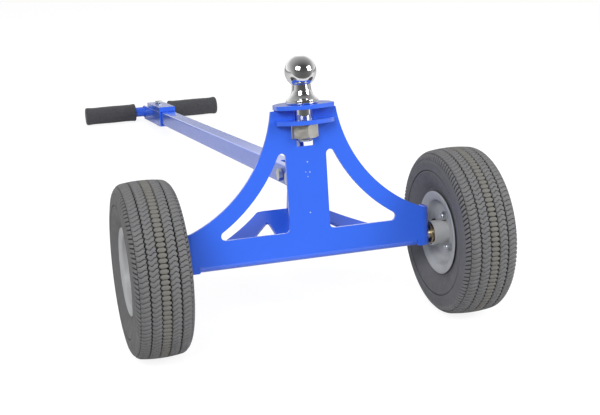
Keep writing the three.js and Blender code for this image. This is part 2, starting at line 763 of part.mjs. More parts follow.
HANDLE_BOLTS.forEach((y, i) => {
  const half = HANDLE_TUBE / 2 + GAP;
  const pin = mesh(`handle_bolt_${i + 1}`, bolt(M10, 2 * half), ZINC());
  pin.rotation.y = Math.PI / 2;
  pin.position.set(-half, y, HANDLE_HEIGHT);
  const lock = mesh(`handle_nut_${i + 1}`, nut(M10), ZINC());
  lock.rotation.y = Math.PI / 2;
  lock.position.set(half, y, HANDLE_HEIGHT);
  frame.add(pin, lock);
});

const capTop = HANDLE_TUBE / 2 + 2 * GAP + CAP_HEIGHT;
const webBottom = HANDLE_TUBE / 2 + 2 * GAP + BRACKET_SHEET;
const boltReach = BAR_REACH - BRACKET_BOLT;
const tBolt = mesh('t_bar_bolt', bolt(M10, capTop + webBottom), ZINC());
tBolt.rotation.x = Math.PI;
tBolt.position.set(0, boltReach, HANDLE_HEIGHT + capTop);
const tNut = mesh('t_bar_nut', nut(M10), ZINC());
tNut.rotation.x = Math.PI;
tNut.position.set(0, boltReach, HANDLE_HEIGHT - webBottom);
frame.add(tBolt, tNut);

// An upright pin across the axle, outboard of the washer.
const cotterAt = HUB_OUTER_END + WASHER_SHEET + COTTER_RADIUS + 4 * GAP;
const cotter = (radius) => new THREE.CylinderGeometry(radius, radius, 2 * COTTER_HALF, 8)
  .rotateX(Math.PI / 2).translate(cotterAt, 0, 0);
const cotterHole = solid(cotter(COTTER_RADIUS + GAP));
const axle = solid(rod(AXLE_RADIUS, -AXLE_END, AXLE_END, 16))
  .subtract(cotterHole).subtract(cotterHole.mirror([1, 0, 0]));
frame.add(mesh('axle', axle, STEEL()));

['left', 'right'].forEach((name) => {
  const onSide = (geometry) => (name === 'left' ? geometry.rotateY(Math.PI) : geometry);
  const bore = AXLE_RADIUS + GAP;
  const spacerFrom = END_FLANGE_OUTSIDE + GAP;
  const spacer = turnedAcross(sleeve(bore, WASHER_RADIUS, spacerFrom, HUB_INNER_END - GAP), 16);
  frame.add(mesh(`${name}_spacer`, onSide(spacer), ZINC()));
  const washerFrom = HUB_OUTER_END + GAP;
  const washer = turnedAcross(sleeve(bore, WASHER_RADIUS, washerFrom, washerFrom + WASHER_SHEET), 16);
  frame.add(mesh(`${name}_washer`, onSide(washer), ZINC()));
  Object.entries(BEARING_STARTS).forEach(([place, start]) => {
    const race = onSide(bearingRace(bore, bore + BEARING_RING, start));
    frame.add(mesh(`${name}_${place}_bearing_inner_race`, race, STEEL()));
  });
  frame.add(mesh(`${name}_cotter_pin`, onSide(cotter(COTTER_RADIUS)), ZINC()));
});

const rightWheel = wheelNodes('right');
rightWheel.position.x = HALF_TRACK;
const leftWheel = wheelNodes('left');
leftWheel.position.x = -HALF_TRACK;
leftWheel.rotation.z = Math.PI;

// The origin is the middle of the footprint, on the floor.
const dolly = new THREE.Group();
dolly.add(frame, leftWheel, rightWheel);
dolly.updateMatrixWorld(true);
const bounds = new THREE.Box3().setFromObject(dolly, true);
const middle = bounds.getCenter(new THREE.Vector3());
dolly.position.set(-middle.x, -middle.y, -bounds.min.z);

export default dolly;
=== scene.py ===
# %% [markdown]
# # A hand dolly for small trailers
# Two air tyres carry a folded steel body with a hitch ball on top, and a long square handle
# lets one person roll the trailer by hand. The CAD model already holds every size and every
# moving joint. This notebook gives each piece its fine shape and its finish around that frame.

import json
import math

import bmesh
import bpy
from mathutils import Matrix, Vector, noise


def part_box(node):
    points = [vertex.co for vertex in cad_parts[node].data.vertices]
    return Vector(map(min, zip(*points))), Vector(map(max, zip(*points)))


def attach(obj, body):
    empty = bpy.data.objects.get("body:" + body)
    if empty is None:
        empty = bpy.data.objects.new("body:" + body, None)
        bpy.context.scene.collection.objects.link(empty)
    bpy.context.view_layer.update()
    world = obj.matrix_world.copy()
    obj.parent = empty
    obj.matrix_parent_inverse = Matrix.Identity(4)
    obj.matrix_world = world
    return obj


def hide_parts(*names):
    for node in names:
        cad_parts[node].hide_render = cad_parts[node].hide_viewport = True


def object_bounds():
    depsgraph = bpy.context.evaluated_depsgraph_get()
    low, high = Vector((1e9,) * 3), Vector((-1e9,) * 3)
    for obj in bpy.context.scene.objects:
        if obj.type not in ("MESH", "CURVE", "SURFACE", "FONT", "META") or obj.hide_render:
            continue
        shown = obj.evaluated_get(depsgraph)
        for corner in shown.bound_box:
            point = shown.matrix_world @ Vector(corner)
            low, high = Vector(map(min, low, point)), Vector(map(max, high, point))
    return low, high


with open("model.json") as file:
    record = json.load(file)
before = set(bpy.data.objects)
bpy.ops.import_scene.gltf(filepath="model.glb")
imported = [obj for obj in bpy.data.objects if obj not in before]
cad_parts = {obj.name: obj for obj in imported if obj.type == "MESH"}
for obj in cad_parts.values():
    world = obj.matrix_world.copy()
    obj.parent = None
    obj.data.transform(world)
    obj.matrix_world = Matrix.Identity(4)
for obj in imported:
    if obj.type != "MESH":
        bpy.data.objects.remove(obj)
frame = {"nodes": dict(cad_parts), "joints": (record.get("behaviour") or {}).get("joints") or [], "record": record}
cad_low, cad_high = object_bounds()
print("CAD box in metres:", [round(b - a, 4) for a, b in zip(cad_low, cad_high)])

# %% [markdown]
# The body, the ball and the handle lean back together until the grips rest on the floor. It is
# much easier to draw them in a frame that leans with them: x runs across, b runs back along the
# handle and s runs up the face, in millimetres from the middle of the axle. The lean comes from
# the ball's mount and the origin from a wheel's joint, so nothing is typed twice.

# %% The leaning frame
MM = 0.001
axle_point = Vector(frame["joints"][0]["pos_m"])
up = Vector(frame["record"]["mounts"][0]["axis"]).normalized()
back = Vector((0, up.z, -up.y))
turn = Matrix((Vector((1, 0, 0)), back, up)).transposed().to_4x4()
LEAN = Matrix.Translation(axle_point) @ turn @ Matrix.Scale(MM, 4)
UNLEAN = LEAN.inverted()


def spans(node):
    """Lowest and highest x, b and s of a CAD node in the leaning frame."""
    points = [UNLEAN @ v.co for v in frame["nodes"][node].data.vertices]
    low = Vector([min(p[i] for p in points) for i in range(3)])
    high = Vector([max(p[i] for p in points) for i in range(3)])
    return low, high


def middle(node):
    low, high = spans(node)
    return (low + high) / 2


print("lean in degrees:", round(math.degrees(math.atan2(up.y, up.z)), 2))

# %% [markdown]
# The camera stands low and to the front left, a little under two metres away, so that both
# wheels, the arched windows and the whole handle read at once. A slight roll and shift place the
# dolly in the picture.

# %% The camera
CAMERA_PLACE = Vector((-0.4842, -2.1342, 0.7516))
CAMERA_YAW = 0.262145
CAMERA_PITCH = 0.328568
CAMERA_ROLL = -0.027633

camera = bpy.data.objects.new("camera", bpy.data.cameras.new("camera"))
bpy.context.scene.collection.objects.link(camera)
ahead = Vector((
    math.sin(CAMERA_YAW) * math.cos(CAMERA_PITCH),
    math.cos(CAMERA_YAW) * math.cos(CAMERA_PITCH),
    -math.sin(CAMERA_PITCH),
))
aside = Vector((math.cos(CAMERA_YAW), -math.sin(CAMERA_YAW), 0))
above = aside.cross(ahead)
right = aside * math.cos(CAMERA_ROLL) + above * math.sin(CAMERA_ROLL)
top = above * math.cos(CAMERA_ROLL) - aside * math.sin(CAMERA_ROLL)
camera.matrix_world = Matrix.Translation(CAMERA_PLACE) @ Matrix((right, top, -ahead)).transposed().to_4x4()
camera.data.sensor_width = 36
camera.data.lens = 65.716
camera.data.shift_x = 0.0727
camera.data.shift_y = -0.0139
bpy.context.scene.camera = camera
print("camera lens:", camera.data.lens, "mm")

# %% [markdown]
# The dolly stands on a sheet of white paper that starts just in front of it and runs far back.
# The room is bright above and behind, and dark on the camera's side. The steep faces mirror that
# dark side, so they keep their deep blue, while the handle, seen almost edge on, mirrors the
# white paper and sky. Three large soft lights do the rest, the strongest from the front left.

# %% The paper
scene = bpy.context.scene
scene.view_settings.view_transform = "Standard"


def nodes_of(owner):
    owner.use_nodes = True
    return owner.node_tree.nodes, owner.node_tree.links


PAPER_FRONT, PAPER_BACK, PAPER_HALF = -1.05, 14, 14
paper_mesh = bpy.data.meshes.new("paper")
paper_mesh.from_pydata(
    [(x * PAPER_HALF, y, cad_low.z) for x, y in (
        (-1, PAPER_FRONT), (1, PAPER_FRONT), (1, PAPER_BACK), (-1, PAPER_BACK))],
    [], [(0, 1, 2, 3)],
)
paper = bpy.data.objects.new("paper", paper_mesh)
scene.collection.objects.link(paper)
white_paper = bpy.data.materials.new("white_paper")
nodes, links = nodes_of(white_paper)
sheet = nodes["Principled BSDF"]
sheet.inputs["Base Color"].default_value = (0.68, 0.68, 0.68, 1)
sheet.inputs["Roughness"].default_value = 0.9
sheet.inputs["Specular IOR Level"].default_value = 0.0
seen = nodes.new("ShaderNodeBsdfDiffuse")
seen.inputs["Color"].default_value = (0.22, 0.22, 0.22, 1)
glow = nodes.new("ShaderNodeEmission")
glow.inputs["Strength"].default_value = 0.86
both = nodes.new("ShaderNodeAddShader")
links.new(seen.outputs[0], both.inputs[0])
links.new(glow.outputs[0], both.inputs[1])
ray = nodes.new("ShaderNodeLightPath")
mix = nodes.new("ShaderNodeMixShader")
links.new(ray.outputs["Is Camera Ray"], mix.inputs[0])
links.new(sheet.outputs[0], mix.inputs[1])
links.new(both.outputs[0], mix.inputs[2])
links.new(mix.outputs[0], nodes["Material Output"].inputs["Surface"])
paper_mesh.materials.append(white_paper)
print("paper starts", PAPER_FRONT, "m from the origin and is", 2 * PAPER_HALF, "m wide")

# %% [markdown]
# The world is what every ray that leaves the dolly meets. The camera sees plain white, diffuse
# light comes evenly from all round, and mirrors see a room that brightens from front to back and
# is brightest at the horizon. Light Path tells the three kinds of ray apart.

# %% The room
room = bpy.data.worlds.new("room")
scene.world = room
nodes, links = nodes_of(room)
direction = nodes.new("ShaderNodeTexCoord")
split = nodes.new("ShaderNodeSeparateXYZ")
links.new(direction.outputs["Generated"], split.inputs[0])


def room_ramp(axis, *stops):
    """How bright the room is along one axis, from -1 to 1, given as (place, grey) stops."""
    spread = nodes.new("ShaderNodeMapRange")
    spread.inputs["From Min"].default_value = -1
    links.new(split.outputs[axis], spread.inputs["Value"])
    ramp = nodes.new("ShaderNodeValToRGB").color_ramp
    while len(ramp.elements) < len(stops):
        ramp.elements.new(0.5)
    for element, (place, grey) in zip(ramp.elements, stops):
        element.position = (place + 1) / 2
        element.color = (grey, grey, grey, 1)
    links.new(spread.outputs[0], nodes[-1].inputs[0])
    return nodes[-1].outputs[0]


front_to_back = room_ramp("Y", (-1, 0.10), (-0.6, 0.15), (0.0, 0.5), (0.5, 0.8), (0.95, 1.0))
low_to_high = room_ramp("Z", (-1, 0.8), (0.0, 1.0), (0.2, 0.75), (0.6, 0.45), (1, 0.4))
product = nodes.new("ShaderNodeMix")
product.data_type = "RGBA"
product.blend_type = "MULTIPLY"
product.inputs[0].default_value = 1.0
links.new(front_to_back, product.inputs[6])
links.new(low_to_high, product.inputs[7])
mirrored_room = nodes.new("ShaderNodeBackground")
mirrored_room.inputs["Strength"].default_value = 1.3
links.new(product.outputs[2], mirrored_room.inputs["Color"])
even = nodes["Background"]
even.inputs["Color"].default_value = (1, 1, 1, 1)
even.inputs["Strength"].default_value = 0.38
white = nodes.new("ShaderNodeBackground")
white.inputs["Color"].default_value = (1, 1, 1, 1)
white.inputs["Strength"].default_value = 1.05
ray = nodes.new("ShaderNodeLightPath")
last = even.outputs[0]
for kind, other in (("Is Glossy Ray", mirrored_room), ("Is Camera Ray", white)):
    mix = nodes.new("ShaderNodeMixShader")
    links.new(ray.outputs[kind], mix.inputs[0])
    links.new(last, mix.inputs[1])
    links.new(other.outputs[0], mix.inputs[2])
    last = mix.outputs[0]
links.new(last, nodes["World Output"].inputs["Surface"])
print("room nodes:", len(nodes))

# %% [markdown]
# Area lights give soft shadows because they have size. The sky light is left out of reflections,
# or the ball would carry a hard white square on its crown.

# %% The soft lights
AIM = Vector((0, -0.45, 0.15))
SOFT_LIGHTS = (
    # name, place, size across, size up, watts
    ("key", Vector((-1.9, -3.0, 2.4)), 1.8, 1.4, 104),
    ("fill", Vector((2.3, -2.2, 1.5)), 1.4, 1.4, 58),
    ("sky", Vector((0.2, 0.3, 3.2)), 3.0, 3.0, 32),
)
for name, place, across, tall, watts in SOFT_LIGHTS:
    lamp = bpy.data.lights.new(name, "AREA")
    lamp.shape = "RECTANGLE"
    lamp.size = across
    lamp.size_y = tall
    lamp.energy = watts
    holder = bpy.data.objects.new(name, lamp)
    holder.location = place
    holder.visible_glossy = name != "sky"
    holder.rotation_euler = (AIM - place).to_track_quat("-Z", "Y").to_euler()
    scene.collection.objects.link(holder)
print("lights:", [name for name, *_ in SOFT_LIGHTS])

# %% [markdown]
# ## Finishes
# Every finish starts from one shader and two or three noises on Object coordinates, which stay
# put on the piece however it turns. These small helpers wire the noises, so that each finish
# below reads as a short recipe.

# %% Helpers for the finishes
def finish(name, colour, roughness, metallic=0.0):
    material = bpy.data.materials.new(name)
    shader = nodes_of(material)[0]["Principled BSDF"]
    shader.inputs["Base Color"].default_value = (*colour, 1)
    shader.inputs["Roughness"].default_value = roughness
    shader.inputs["Metallic"].default_value = metallic
    return material, shader


def grain(material, scale, detail=2.0, stretch=(1, 1, 1)):
    """A noise from 0 to 1 with so many cells a metre, stretched along the axes if asked."""
    nodes, links = nodes_of(material)
    place = nodes.new("ShaderNodeTexCoord")
    mapping = nodes.new("ShaderNodeMapping")
    mapping.inputs["Scale"].default_value = stretch
    texture = nodes.new("ShaderNodeTexNoise")
    texture.inputs["Scale"].default_value = scale
    texture.inputs["Detail"].default_value = detail
    links.new(place.outputs["Object"], mapping.inputs[0])
    links.new(mapping.outputs[0], texture.inputs["Vector"])
    return texture.outputs["Fac"]


def graded(material, factor, *stops):
    """A colour or grey read off a ramp of (place, colour) stops."""
    nodes, links = nodes_of(material)
    ramp = nodes.new("ShaderNodeValToRGB")
    while len(ramp.color_ramp.elements) < len(stops):
        ramp.color_ramp.elements.new(0.5)
    for element, (place, colour) in zip(ramp.color_ramp.elements, stops):
        element.position = place
        element.color = (*colour, 1) if hasattr(colour, "__len__") else (colour, colour, colour, 1)
    links.new(factor, ramp.inputs[0])
    return ramp.outputs[0]


def blended(material, factor, first, second):
    """A mix of two colours, each given as a socket or as plain numbers."""
    nodes, links = nodes_of(material)
    mixer = nodes.new("ShaderNodeMix")
    mixer.data_type = "RGBA"
    links.new(factor, mixer.inputs[0])
    for socket, colour in ((mixer.inputs[6], first), (mixer.inputs[7], second)):
        if hasattr(colour, "is_output"):
            links.new(colour, socket)
        else:
            socket.default_value = (*colour, 1)
    return mixer.outputs[2]


def near(material, centre, radius):
    """1 within a radius of a point of the piece and 0 beyond it,."""
    nodes, links = nodes_of(material)
    place = nodes.new("ShaderNodeTexCoord")
    gap = nodes.new("ShaderNodeVectorMath")
    gap.operation = "DISTANCE"
    gap.inputs[1].default_value = centre
    links.new(place.outputs["Object"], gap.inputs[0])
    edge = nodes.new("ShaderNodeMapRange")
    edge.inputs["From Min"].default_value = radius * 1.25
    edge.inputs["From Max"].default_value = radius * 0.75
    links.new(gap.outputs["Value"], edge.inputs["Value"])
    return edge.outputs[0]


def bumped(material, shader, height, strength, distance):
    nodes, links = nodes_of(material)
    bump = nodes.new("ShaderNodeBump")
    bump.inputs["Strength"].default_value = strength
    bump.inputs["Distance"].default_value = distance
    links.new(height, bump.inputs["Height"])
    links.new(bump.outputs[0], shader.inputs["Normal"])


def wired(material, shader, **sockets):
    """Links value sockets to the shader's inputs, named with underscores for spaces."""
    links = nodes_of(material)[1]
    for name, source in sockets.items():
        links.new(source, shader.inputs[name.replace("_", " ")])


print("finish helpers are ready")

# %% [markdown]
# Powder coat is dry paint melted onto the steel. It flows into a faint orange peel about a
# millimetre across and hardly changes colour. The column carries a few small pale chips. The coat
# is smooth enough to mirror the white room when seen edge on, which is why the handle looks almost
# white along its top.

# %% Blue powder coat
BLUE = (0.030, 0.136, 0.800)
BLUE_DEEP = (0.027, 0.124, 0.745)
NICK = (0.50, 0.56, 0.68)
NICK_PLACES = (
    # x, s, radius: small chips on the column of the face
    (1.6, 136.8, 1.1), (-1.9, 121.5, 0.8), (4.5, 120.9, 0.9), (1.1, 114.2, 0.8), (1.5, 58.9, 1.0),
)

blue_coat, shader = finish("blue_powder_coat", BLUE, 0.3)
shader.inputs["Coat Weight"].default_value = 0.9
shader.inputs["Coat Roughness"].default_value = 0.1
cloud = grain(blue_coat, 9, 2)
tone = blended(blue_coat, cloud, BLUE, BLUE_DEEP)
column_front = spans("body_plate")[0].y
for x, s, radius in NICK_PLACES:
    spot = near(blue_coat, LEAN @ Vector((x, column_front, s)), radius * MM)
    tone = blended(blue_coat, spot, tone, NICK)
wired(blue_coat, shader, Base_Color=tone)
wired(blue_coat, shader, Roughness=graded(blue_coat, grain(blue_coat, 40), (0.3, 0.29), (0.7, 0.32)))
bumped(blue_coat, shader, grain(blue_coat, 700, 1), 0.12, 0.0001)

weld_coat, shader = finish("coated_weld", BLUE_DEEP, 0.38)
# pale grey specks on the bead
pale_specks = graded(weld_coat, grain(weld_coat, 420, 2), (0.0, 0.0), (0.62, 0.0), (0.68, 1.0))
wired(weld_coat, shader, Base_Color=blended(weld_coat, pale_specks, BLUE_DEEP, (0.35, 0.42, 0.55)))
bumped(weld_coat, shader, grain(weld_coat, 600, 3), 0.5, 0.0004)
print("blue coats:", blue_coat.name, weld_coat.name)

# %% [markdown]
# Three bare metals meet at the ball. The ball is chromed and buffed until it mirrors the room.
# The nut is turned from plain bar with a warm satin skin. The small bolts are zinc plated: clear
# zinc on the bolts, and a yellow passivated coat on the axle's spacers and washers.

# %% Chrome, steel and zinc
chrome, shader = finish("buffed_chrome", (0.78, 0.78, 0.79), 0.06, 1.0)
wired(chrome, shader, Roughness=graded(chrome, grain(chrome, 60, 3), (0.3, 0.04), (0.75, 0.1)))
bumped(chrome, shader, grain(chrome, 160, 2), 0.06, 0.0002)

satin_steel, shader = finish("satin_steel", (0.56, 0.54, 0.49), 0.34, 1.0)
stain = grain(satin_steel, 120, 4)
wired(satin_steel, shader, Base_Color=graded(
    satin_steel, stain, (0.3, (0.70, 0.68, 0.63)), (0.7, (0.56, 0.54, 0.48))))
wired(satin_steel, shader, Roughness=graded(satin_steel, grain(satin_steel, 300), (0.3, 0.28), (0.7, 0.45)))
bumped(satin_steel, shader, grain(satin_steel, 900, 2, (1, 1, 0.1)), 0.2, 0.0001)

clear_zinc, shader = finish("clear_zinc", (0.66, 0.68, 0.70), 0.3, 1.0)
wired(clear_zinc, shader, Base_Color=graded(
    clear_zinc, grain(clear_zinc, 200, 3), (0.3, (0.72, 0.74, 0.75)), (0.7, (0.52, 0.55, 0.58))))
bumped(clear_zinc, shader, grain(clear_zinc, 1500, 1), 0.15, 0.0001)

yellow_zinc, shader = finish("yellow_zinc", (0.55, 0.42, 0.22), 0.35, 1.0)
wired(yellow_zinc, shader, Base_Color=graded(
    yellow_zinc, grain(yellow_zinc, 180, 3), (0.3, (0.60, 0.47, 0.24)), (0.7, (0.38, 0.28, 0.18))))
bumped(yellow_zinc, shader, grain(yellow_zinc, 1200, 1), 0.15, 0.0001)
print("metals:", [m.name for m in (chrome, satin_steel, clear_zinc, yellow_zinc)])

# %% [markdown]
# The rims are sprayed pale grey with a slightly dusty skin. The tyres are the same rubber all
# through. An attribute from 0 to 1 on each tyre mesh sets its colour: at 0 the grooves, the gaps
# between lugs and the moulding seam get painted shade and go nearly black, worn block tops go
# grey with dust, and the centre rib, which touches the ground first, turns sandy with dust. The
# foam grips are charcoal with fine open cells.

# %% Rim paint, rubber and foam
rim_paint, shader = finish("sprayed_rim", (0.42, 0.43, 0.44), 0.42)
wired(rim_paint, shader, Base_Color=graded(
    rim_paint, grain(rim_paint, 35, 4), (0.3, (0.38, 0.385, 0.395)), (0.7, (0.32, 0.325, 0.33))))
bumped(rim_paint, shader, grain(rim_paint, 900, 1), 0.2, 0.0001)

rubber, shader = finish("dusty_rubber", (0.09, 0.09, 0.095), 0.72)
nodes, links = nodes_of(rubber)
dust = nodes.new("ShaderNodeAttribute")
dust.attribute_name = "dust"
# the ramp's 0 stop is painted shade, nearly black, for grooves and gaps; the higher stops are grey and sandy dust
worn_and_shaded = graded(rubber, dust.outputs["Fac"], (0.0, (0.003, 0.003, 0.004)), (0.45, (0.098, 0.098, 0.103)),
              (0.62, (0.130, 0.130, 0.134)), (1.0, (0.138, 0.133, 0.119)))
patchy = graded(rubber, grain(rubber, 28, 4), (0.35, 0.0), (0.75, 0.3))
patched = nodes.new("ShaderNodeMath")
patched.operation = "MULTIPLY"
links.new(patchy, patched.inputs[0])
links.new(dust.outputs["Fac"], patched.inputs[1])
wired(rubber, shader, Base_Color=blended(rubber, patched.outputs[0], worn_and_shaded, (0.17, 0.165, 0.155)))
wired(rubber, shader, Roughness=graded(rubber, grain(rubber, 90, 3), (0.3, 0.6), (0.7, 0.85)))
bumped(rubber, shader, grain(rubber, 1100, 2), 0.3, 0.0002)

valve_rubber, shader = finish("moulded_rubber", (0.02, 0.02, 0.021), 0.6)
bumped(valve_rubber, shader, grain(valve_rubber, 1500, 1), 0.2, 0.0001)

foam, shader = finish("charcoal_foam", (0.052, 0.052, 0.059), 0.95)
shader.inputs["Sheen Weight"].default_value = 0.15
shader.inputs["Sheen Roughness"].default_value = 0.6
wired(foam, shader, Base_Color=graded(
    foam, grain(foam, 260, 5), (0.35, (0.037, 0.037, 0.042)), (0.7, (0.056, 0.056, 0.063))))
bumped(foam, shader, grain(foam, 1400, 3), 0.6, 0.0005)
print("soft finishes:", [m.name for m in (rim_paint, rubber, valve_rubber, foam)])

# %% [markdown]
# ## Shapes
# Most pieces here are one of two things: a flat outline with thickness, or rings of points joined
# by skin. A few short helpers make both, in millimetres. A worker object runs the modifiers and
# gives back a plain mesh, so that the mesh holds exactly what is drawn.

# %% Outline helpers
def arc(cx, cy, radius, start, end, steps):
    turns = [start + (end - start) * i / steps for i in range(steps + 1)]
    return [(cx + radius * math.cos(a), cy + radius * math.sin(a)) for a in turns]


def bow(p, q, rise, steps):
    """The arc from p to q that bows sideways by the given rise."""
    p, q = Vector(p), Vector(q)
    half = (q - p).length / 2
    radius = (half * half + rise * rise) / (2 * abs(rise))
    along = (q - p).normalized()
    side = Vector((-along.y, along.x)) * math.copysign(1, rise)
    centre = (p + q) / 2 + side * (abs(rise) - radius)
    start = math.atan2(p.y - centre.y, p.x - centre.x)
    end = math.atan2(q.y - centre.y, q.x - centre.x)
    sweep = math.atan2(math.sin(end - start), math.cos(end - start))
    return arc(centre.x, centre.y, radius, start, start + sweep, steps)


def softened(points, cut, steps=4, looped=True):
    """The same path with every corner cut back and curved across."""
    smooth = []
    for i, point in enumerate(points):
        corner = Vector(point)
        if not looped and i in (0, len(points) - 1):
            smooth.append(tuple(corner))
            continue
        before = Vector(points[i - 1]) - corner
        after = Vector(points[(i + 1) % len(points)]) - corner
        reach = min(cut, 0.48 * before.length, 0.48 * after.length)
        first, last = corner + before.normalized() * reach, corner + after.normalized() * reach
        for k in range(steps + 1):
            t = k / steps
            smooth.append(tuple(first * (1 - t) ** 2 + corner * 2 * t * (1 - t) + last * t * t))
    return smooth


def mirrored(right_half):
    """An outline from its right half, which starts and ends on the middle line."""
    left = [(-x, y) for x, y in reversed(right_half) if abs(x) > 1e-6]
    return [*right_half, *left]


def flipped(points):
    return [(-x, y) for x, y in reversed(points)]


print("outline helpers are ready")


# %% [markdown]
# Four helpers turn outlines into meshes: one runs modifiers and keeps the result, one fills a flat
# outline with holes, one joins rings of points into a skin, and one closes the mesh off with its
# faces outwards. The last helper makes a finished mesh a piece that rides on a body.

# %% Mesh helpers
def made_plain(worker):
    """The mesh that an object shows once its modifiers have run. The object itself goes."""
    depsgraph = bpy.context.evaluated_depsgraph_get()
    plain_mesh = bpy.data.meshes.new_from_object(worker.evaluated_get(depsgraph))
    bpy.data.objects.remove(worker)
    return plain_mesh


def settled(mesh, *steps):
    """The mesh with modifiers run on it and made plain. Each step is a kind and its settings."""
    worker = bpy.data.objects.new("worker", mesh)
    scene.collection.objects.link(worker)
    for kind, settings in steps:
        modifier = worker.modifiers.new(kind, kind)
        for key, value in settings.items():
            setattr(modifier, key, value)
    return made_plain(worker)


def edge_broken(width, angle=30, segments=2):
    """Modifier steps that round every edge sharper than the angle and keep flats flat."""
    return (
        ("BEVEL", {"width": width, "segments": segments, "limit_method": "ANGLE",
                   "angle_limit": math.radians(angle), "use_clamp_overlap": True}),
        ("WEIGHTED_NORMAL", {"weight": 90}),
    )


def smooth_shaded(mesh, angle=35):
    for polygon in mesh.polygons:
        polygon.use_smooth = True
    if angle:
        mesh.set_sharp_from_angle(angle=math.radians(angle))
    return mesh


def blank(outline, holes=()):
    """A flat filled mesh in X and Y from an outline and its holes."""
    curve = bpy.data.curves.new("blank", "CURVE")
    curve.dimensions = "2D"
    curve.fill_mode = "BOTH"
    for loop in (outline, *holes):
        spline = curve.splines.new("POLY")
        spline.points.add(len(loop) - 1)
        for point, (x, y) in zip(spline.points, loop):
            point.co = (x, y, 0, 1)
        spline.use_cyclic_u = True
    worker = bpy.data.objects.new("blank", curve)
    scene.collection.objects.link(worker)
    flat = made_plain(worker)
    shape = bmesh.new()
    shape.from_mesh(flat)
    bmesh.ops.remove_doubles(shape, verts=shape.verts, dist=1e-3)
    shape.to_mesh(flat)
    shape.free()
    return flat


def skin(shape, rings, looped=False):
    """Faces between neighbouring rings. The ends are capped, or joined to each other if looped."""
    rows = [[shape.verts.new(p) for p in ring] for ring in rings]
    pairs = list(zip(rows, rows[1:]))
    if looped:
        pairs.append((rows[-1], rows[0]))
    for low, high in pairs:
        for j in range(len(low)):
            k = (j + 1) % len(low)
            shape.faces.new((low[j], low[k], high[k], high[j]))
    if not looped:
        shape.faces.new(rows[0][::-1])
        shape.faces.new(rows[-1])
    return rows


def to_mesh(name, shape, matrix=None, angle=35):
    """Closes off a bmesh: normals outwards, put in its place, shaded smooth."""
    bmesh.ops.recalc_face_normals(shape, faces=shape.faces)
    mesh = bpy.data.meshes.new(name)
    shape.to_mesh(mesh)
    shape.free()
    if matrix is not None:
        mesh.transform(matrix)
    return smooth_shaded(mesh, angle)


def circle(radius, height, steps):
    return [(radius * math.cos(2 * math.pi * j / steps), radius * math.sin(2 * math.pi * j / steps), height)
            for j in range(steps)]


def turned(name, profile, steps, matrix, looped=False, angle=35):
    """A lathe piece about Z from (radius, height) pairs."""
    shape = bmesh.new()
    skin(shape, [circle(radius, height, steps) for radius, height in profile], looped)
    return to_mesh(name, shape, matrix, angle)


def piece(name, mesh, body, slot, material, *stands_for):
    """Makes a finished mesh an object that rides on a body and stands for its CAD nodes."""
    obj = bpy.data.objects.new(name, mesh)
    scene.collection.objects.link(obj)
    mesh.materials.clear()
    mesh.materials.append(material)
    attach(obj, body)
    if stands_for:
        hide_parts(*stands_for)
    triangles = sum(len(p.vertices) - 2 for p in mesh.polygons)
    print(f"{name}: {triangles} triangles, rides on {body}")
    return obj


# The axis of a lathe piece laid across the dolly.
ACROSS = Matrix.Rotation(math.pi / 2, 4, "Y")

# %% [markdown]
# ## The folded body
# The body is one laser-cut sheet. Its tall face has two arched windows and a slot for the ball's
# shank. The bottom edge is folded back and up into a lower plate, and both ends are folded back
# to carry the axle. It could be modelled folded, but then the bends are hard to keep even, so it
# is drawn flat, as the cutter sees it, and folded by a function, as the press does. Solidify then
# gives the sheet its thickness and Bevel rounds the laser-cut edges.

# %% Sizes of the sheet
PLATE = 4.8
body_low, body_high = spans("body_plate")
FACE_MIDDLE = body_low.y + PLATE / 2
BEND_RADIUS = 5.2 + PLATE / 2
BEND_ANGLE = math.radians(116)
BEND_LENGTH = BEND_RADIUS * BEND_ANGLE
BEND_HALF = 174
BEND_START = body_low.z + BEND_RADIUS + PLATE / 2
END_OUTSIDE = body_high.x
END_RADIUS = 15 - PLATE / 2
END_START = END_OUTSIDE - 15
END_LENGTH = END_RADIUS * math.pi / 2
END_REACH = 23
END_TOP = 47
FACE_TOP = 217
LOWER_DEPTH = 124
LOWER_REAR_HALF = 50
BRACE_OUTER = (265.25, 248, 216.4)
BRACE_INNER = (270.2, 253.2, 248.6)
COLUMN_HALF = 32
SILL = 30.8
SLOT_HALF = 13.4
SLOT_BOTTOM = 161
POCKET_HALF = 20.5
nut_low, nut_high = spans("hitch_nut")
print("face middle", round(FACE_MIDDLE, 2), "bend starts at", round(BEND_START, 2))


# %% [markdown]
# The blank is drawn as half an outline and mirrored. A curve with holes in it fills itself with
# triangles, which saves working out by hand how the windows and the openings divide the sheet.

# %% The outline of the blank
def window():
    """A window with rounded corners: straight along the column and the sill, curved along the brace."""
    cx, cy, radius = BRACE_INNER
    tip, heel, foot = 6.5, 7.0, 7.0
    tip_x = COLUMN_HALF + tip
    tip_y = cy - math.sqrt((radius + tip) ** 2 - (cx - tip_x) ** 2)
    heel_y = SILL + heel
    heel_x = cx - math.sqrt((radius + heel) ** 2 - (cy - heel_y) ** 2)
    tip_turn = math.atan2(cy - tip_y, cx - tip_x)
    heel_turn = math.atan2(cy - heel_y, cx - heel_x)
    return [
        *arc(tip_x, tip_y, tip, math.pi, tip_turn, 10),
        *arc(cx, cy, radius, math.pi + tip_turn, math.pi + heel_turn, 40)[1:],
        *arc(heel_x, heel_y, heel, heel_turn, -math.pi / 2, 12)[1:],
        *arc(COLUMN_HALF + foot, SILL + foot, foot, -math.pi / 2, -math.pi, 10),
    ]


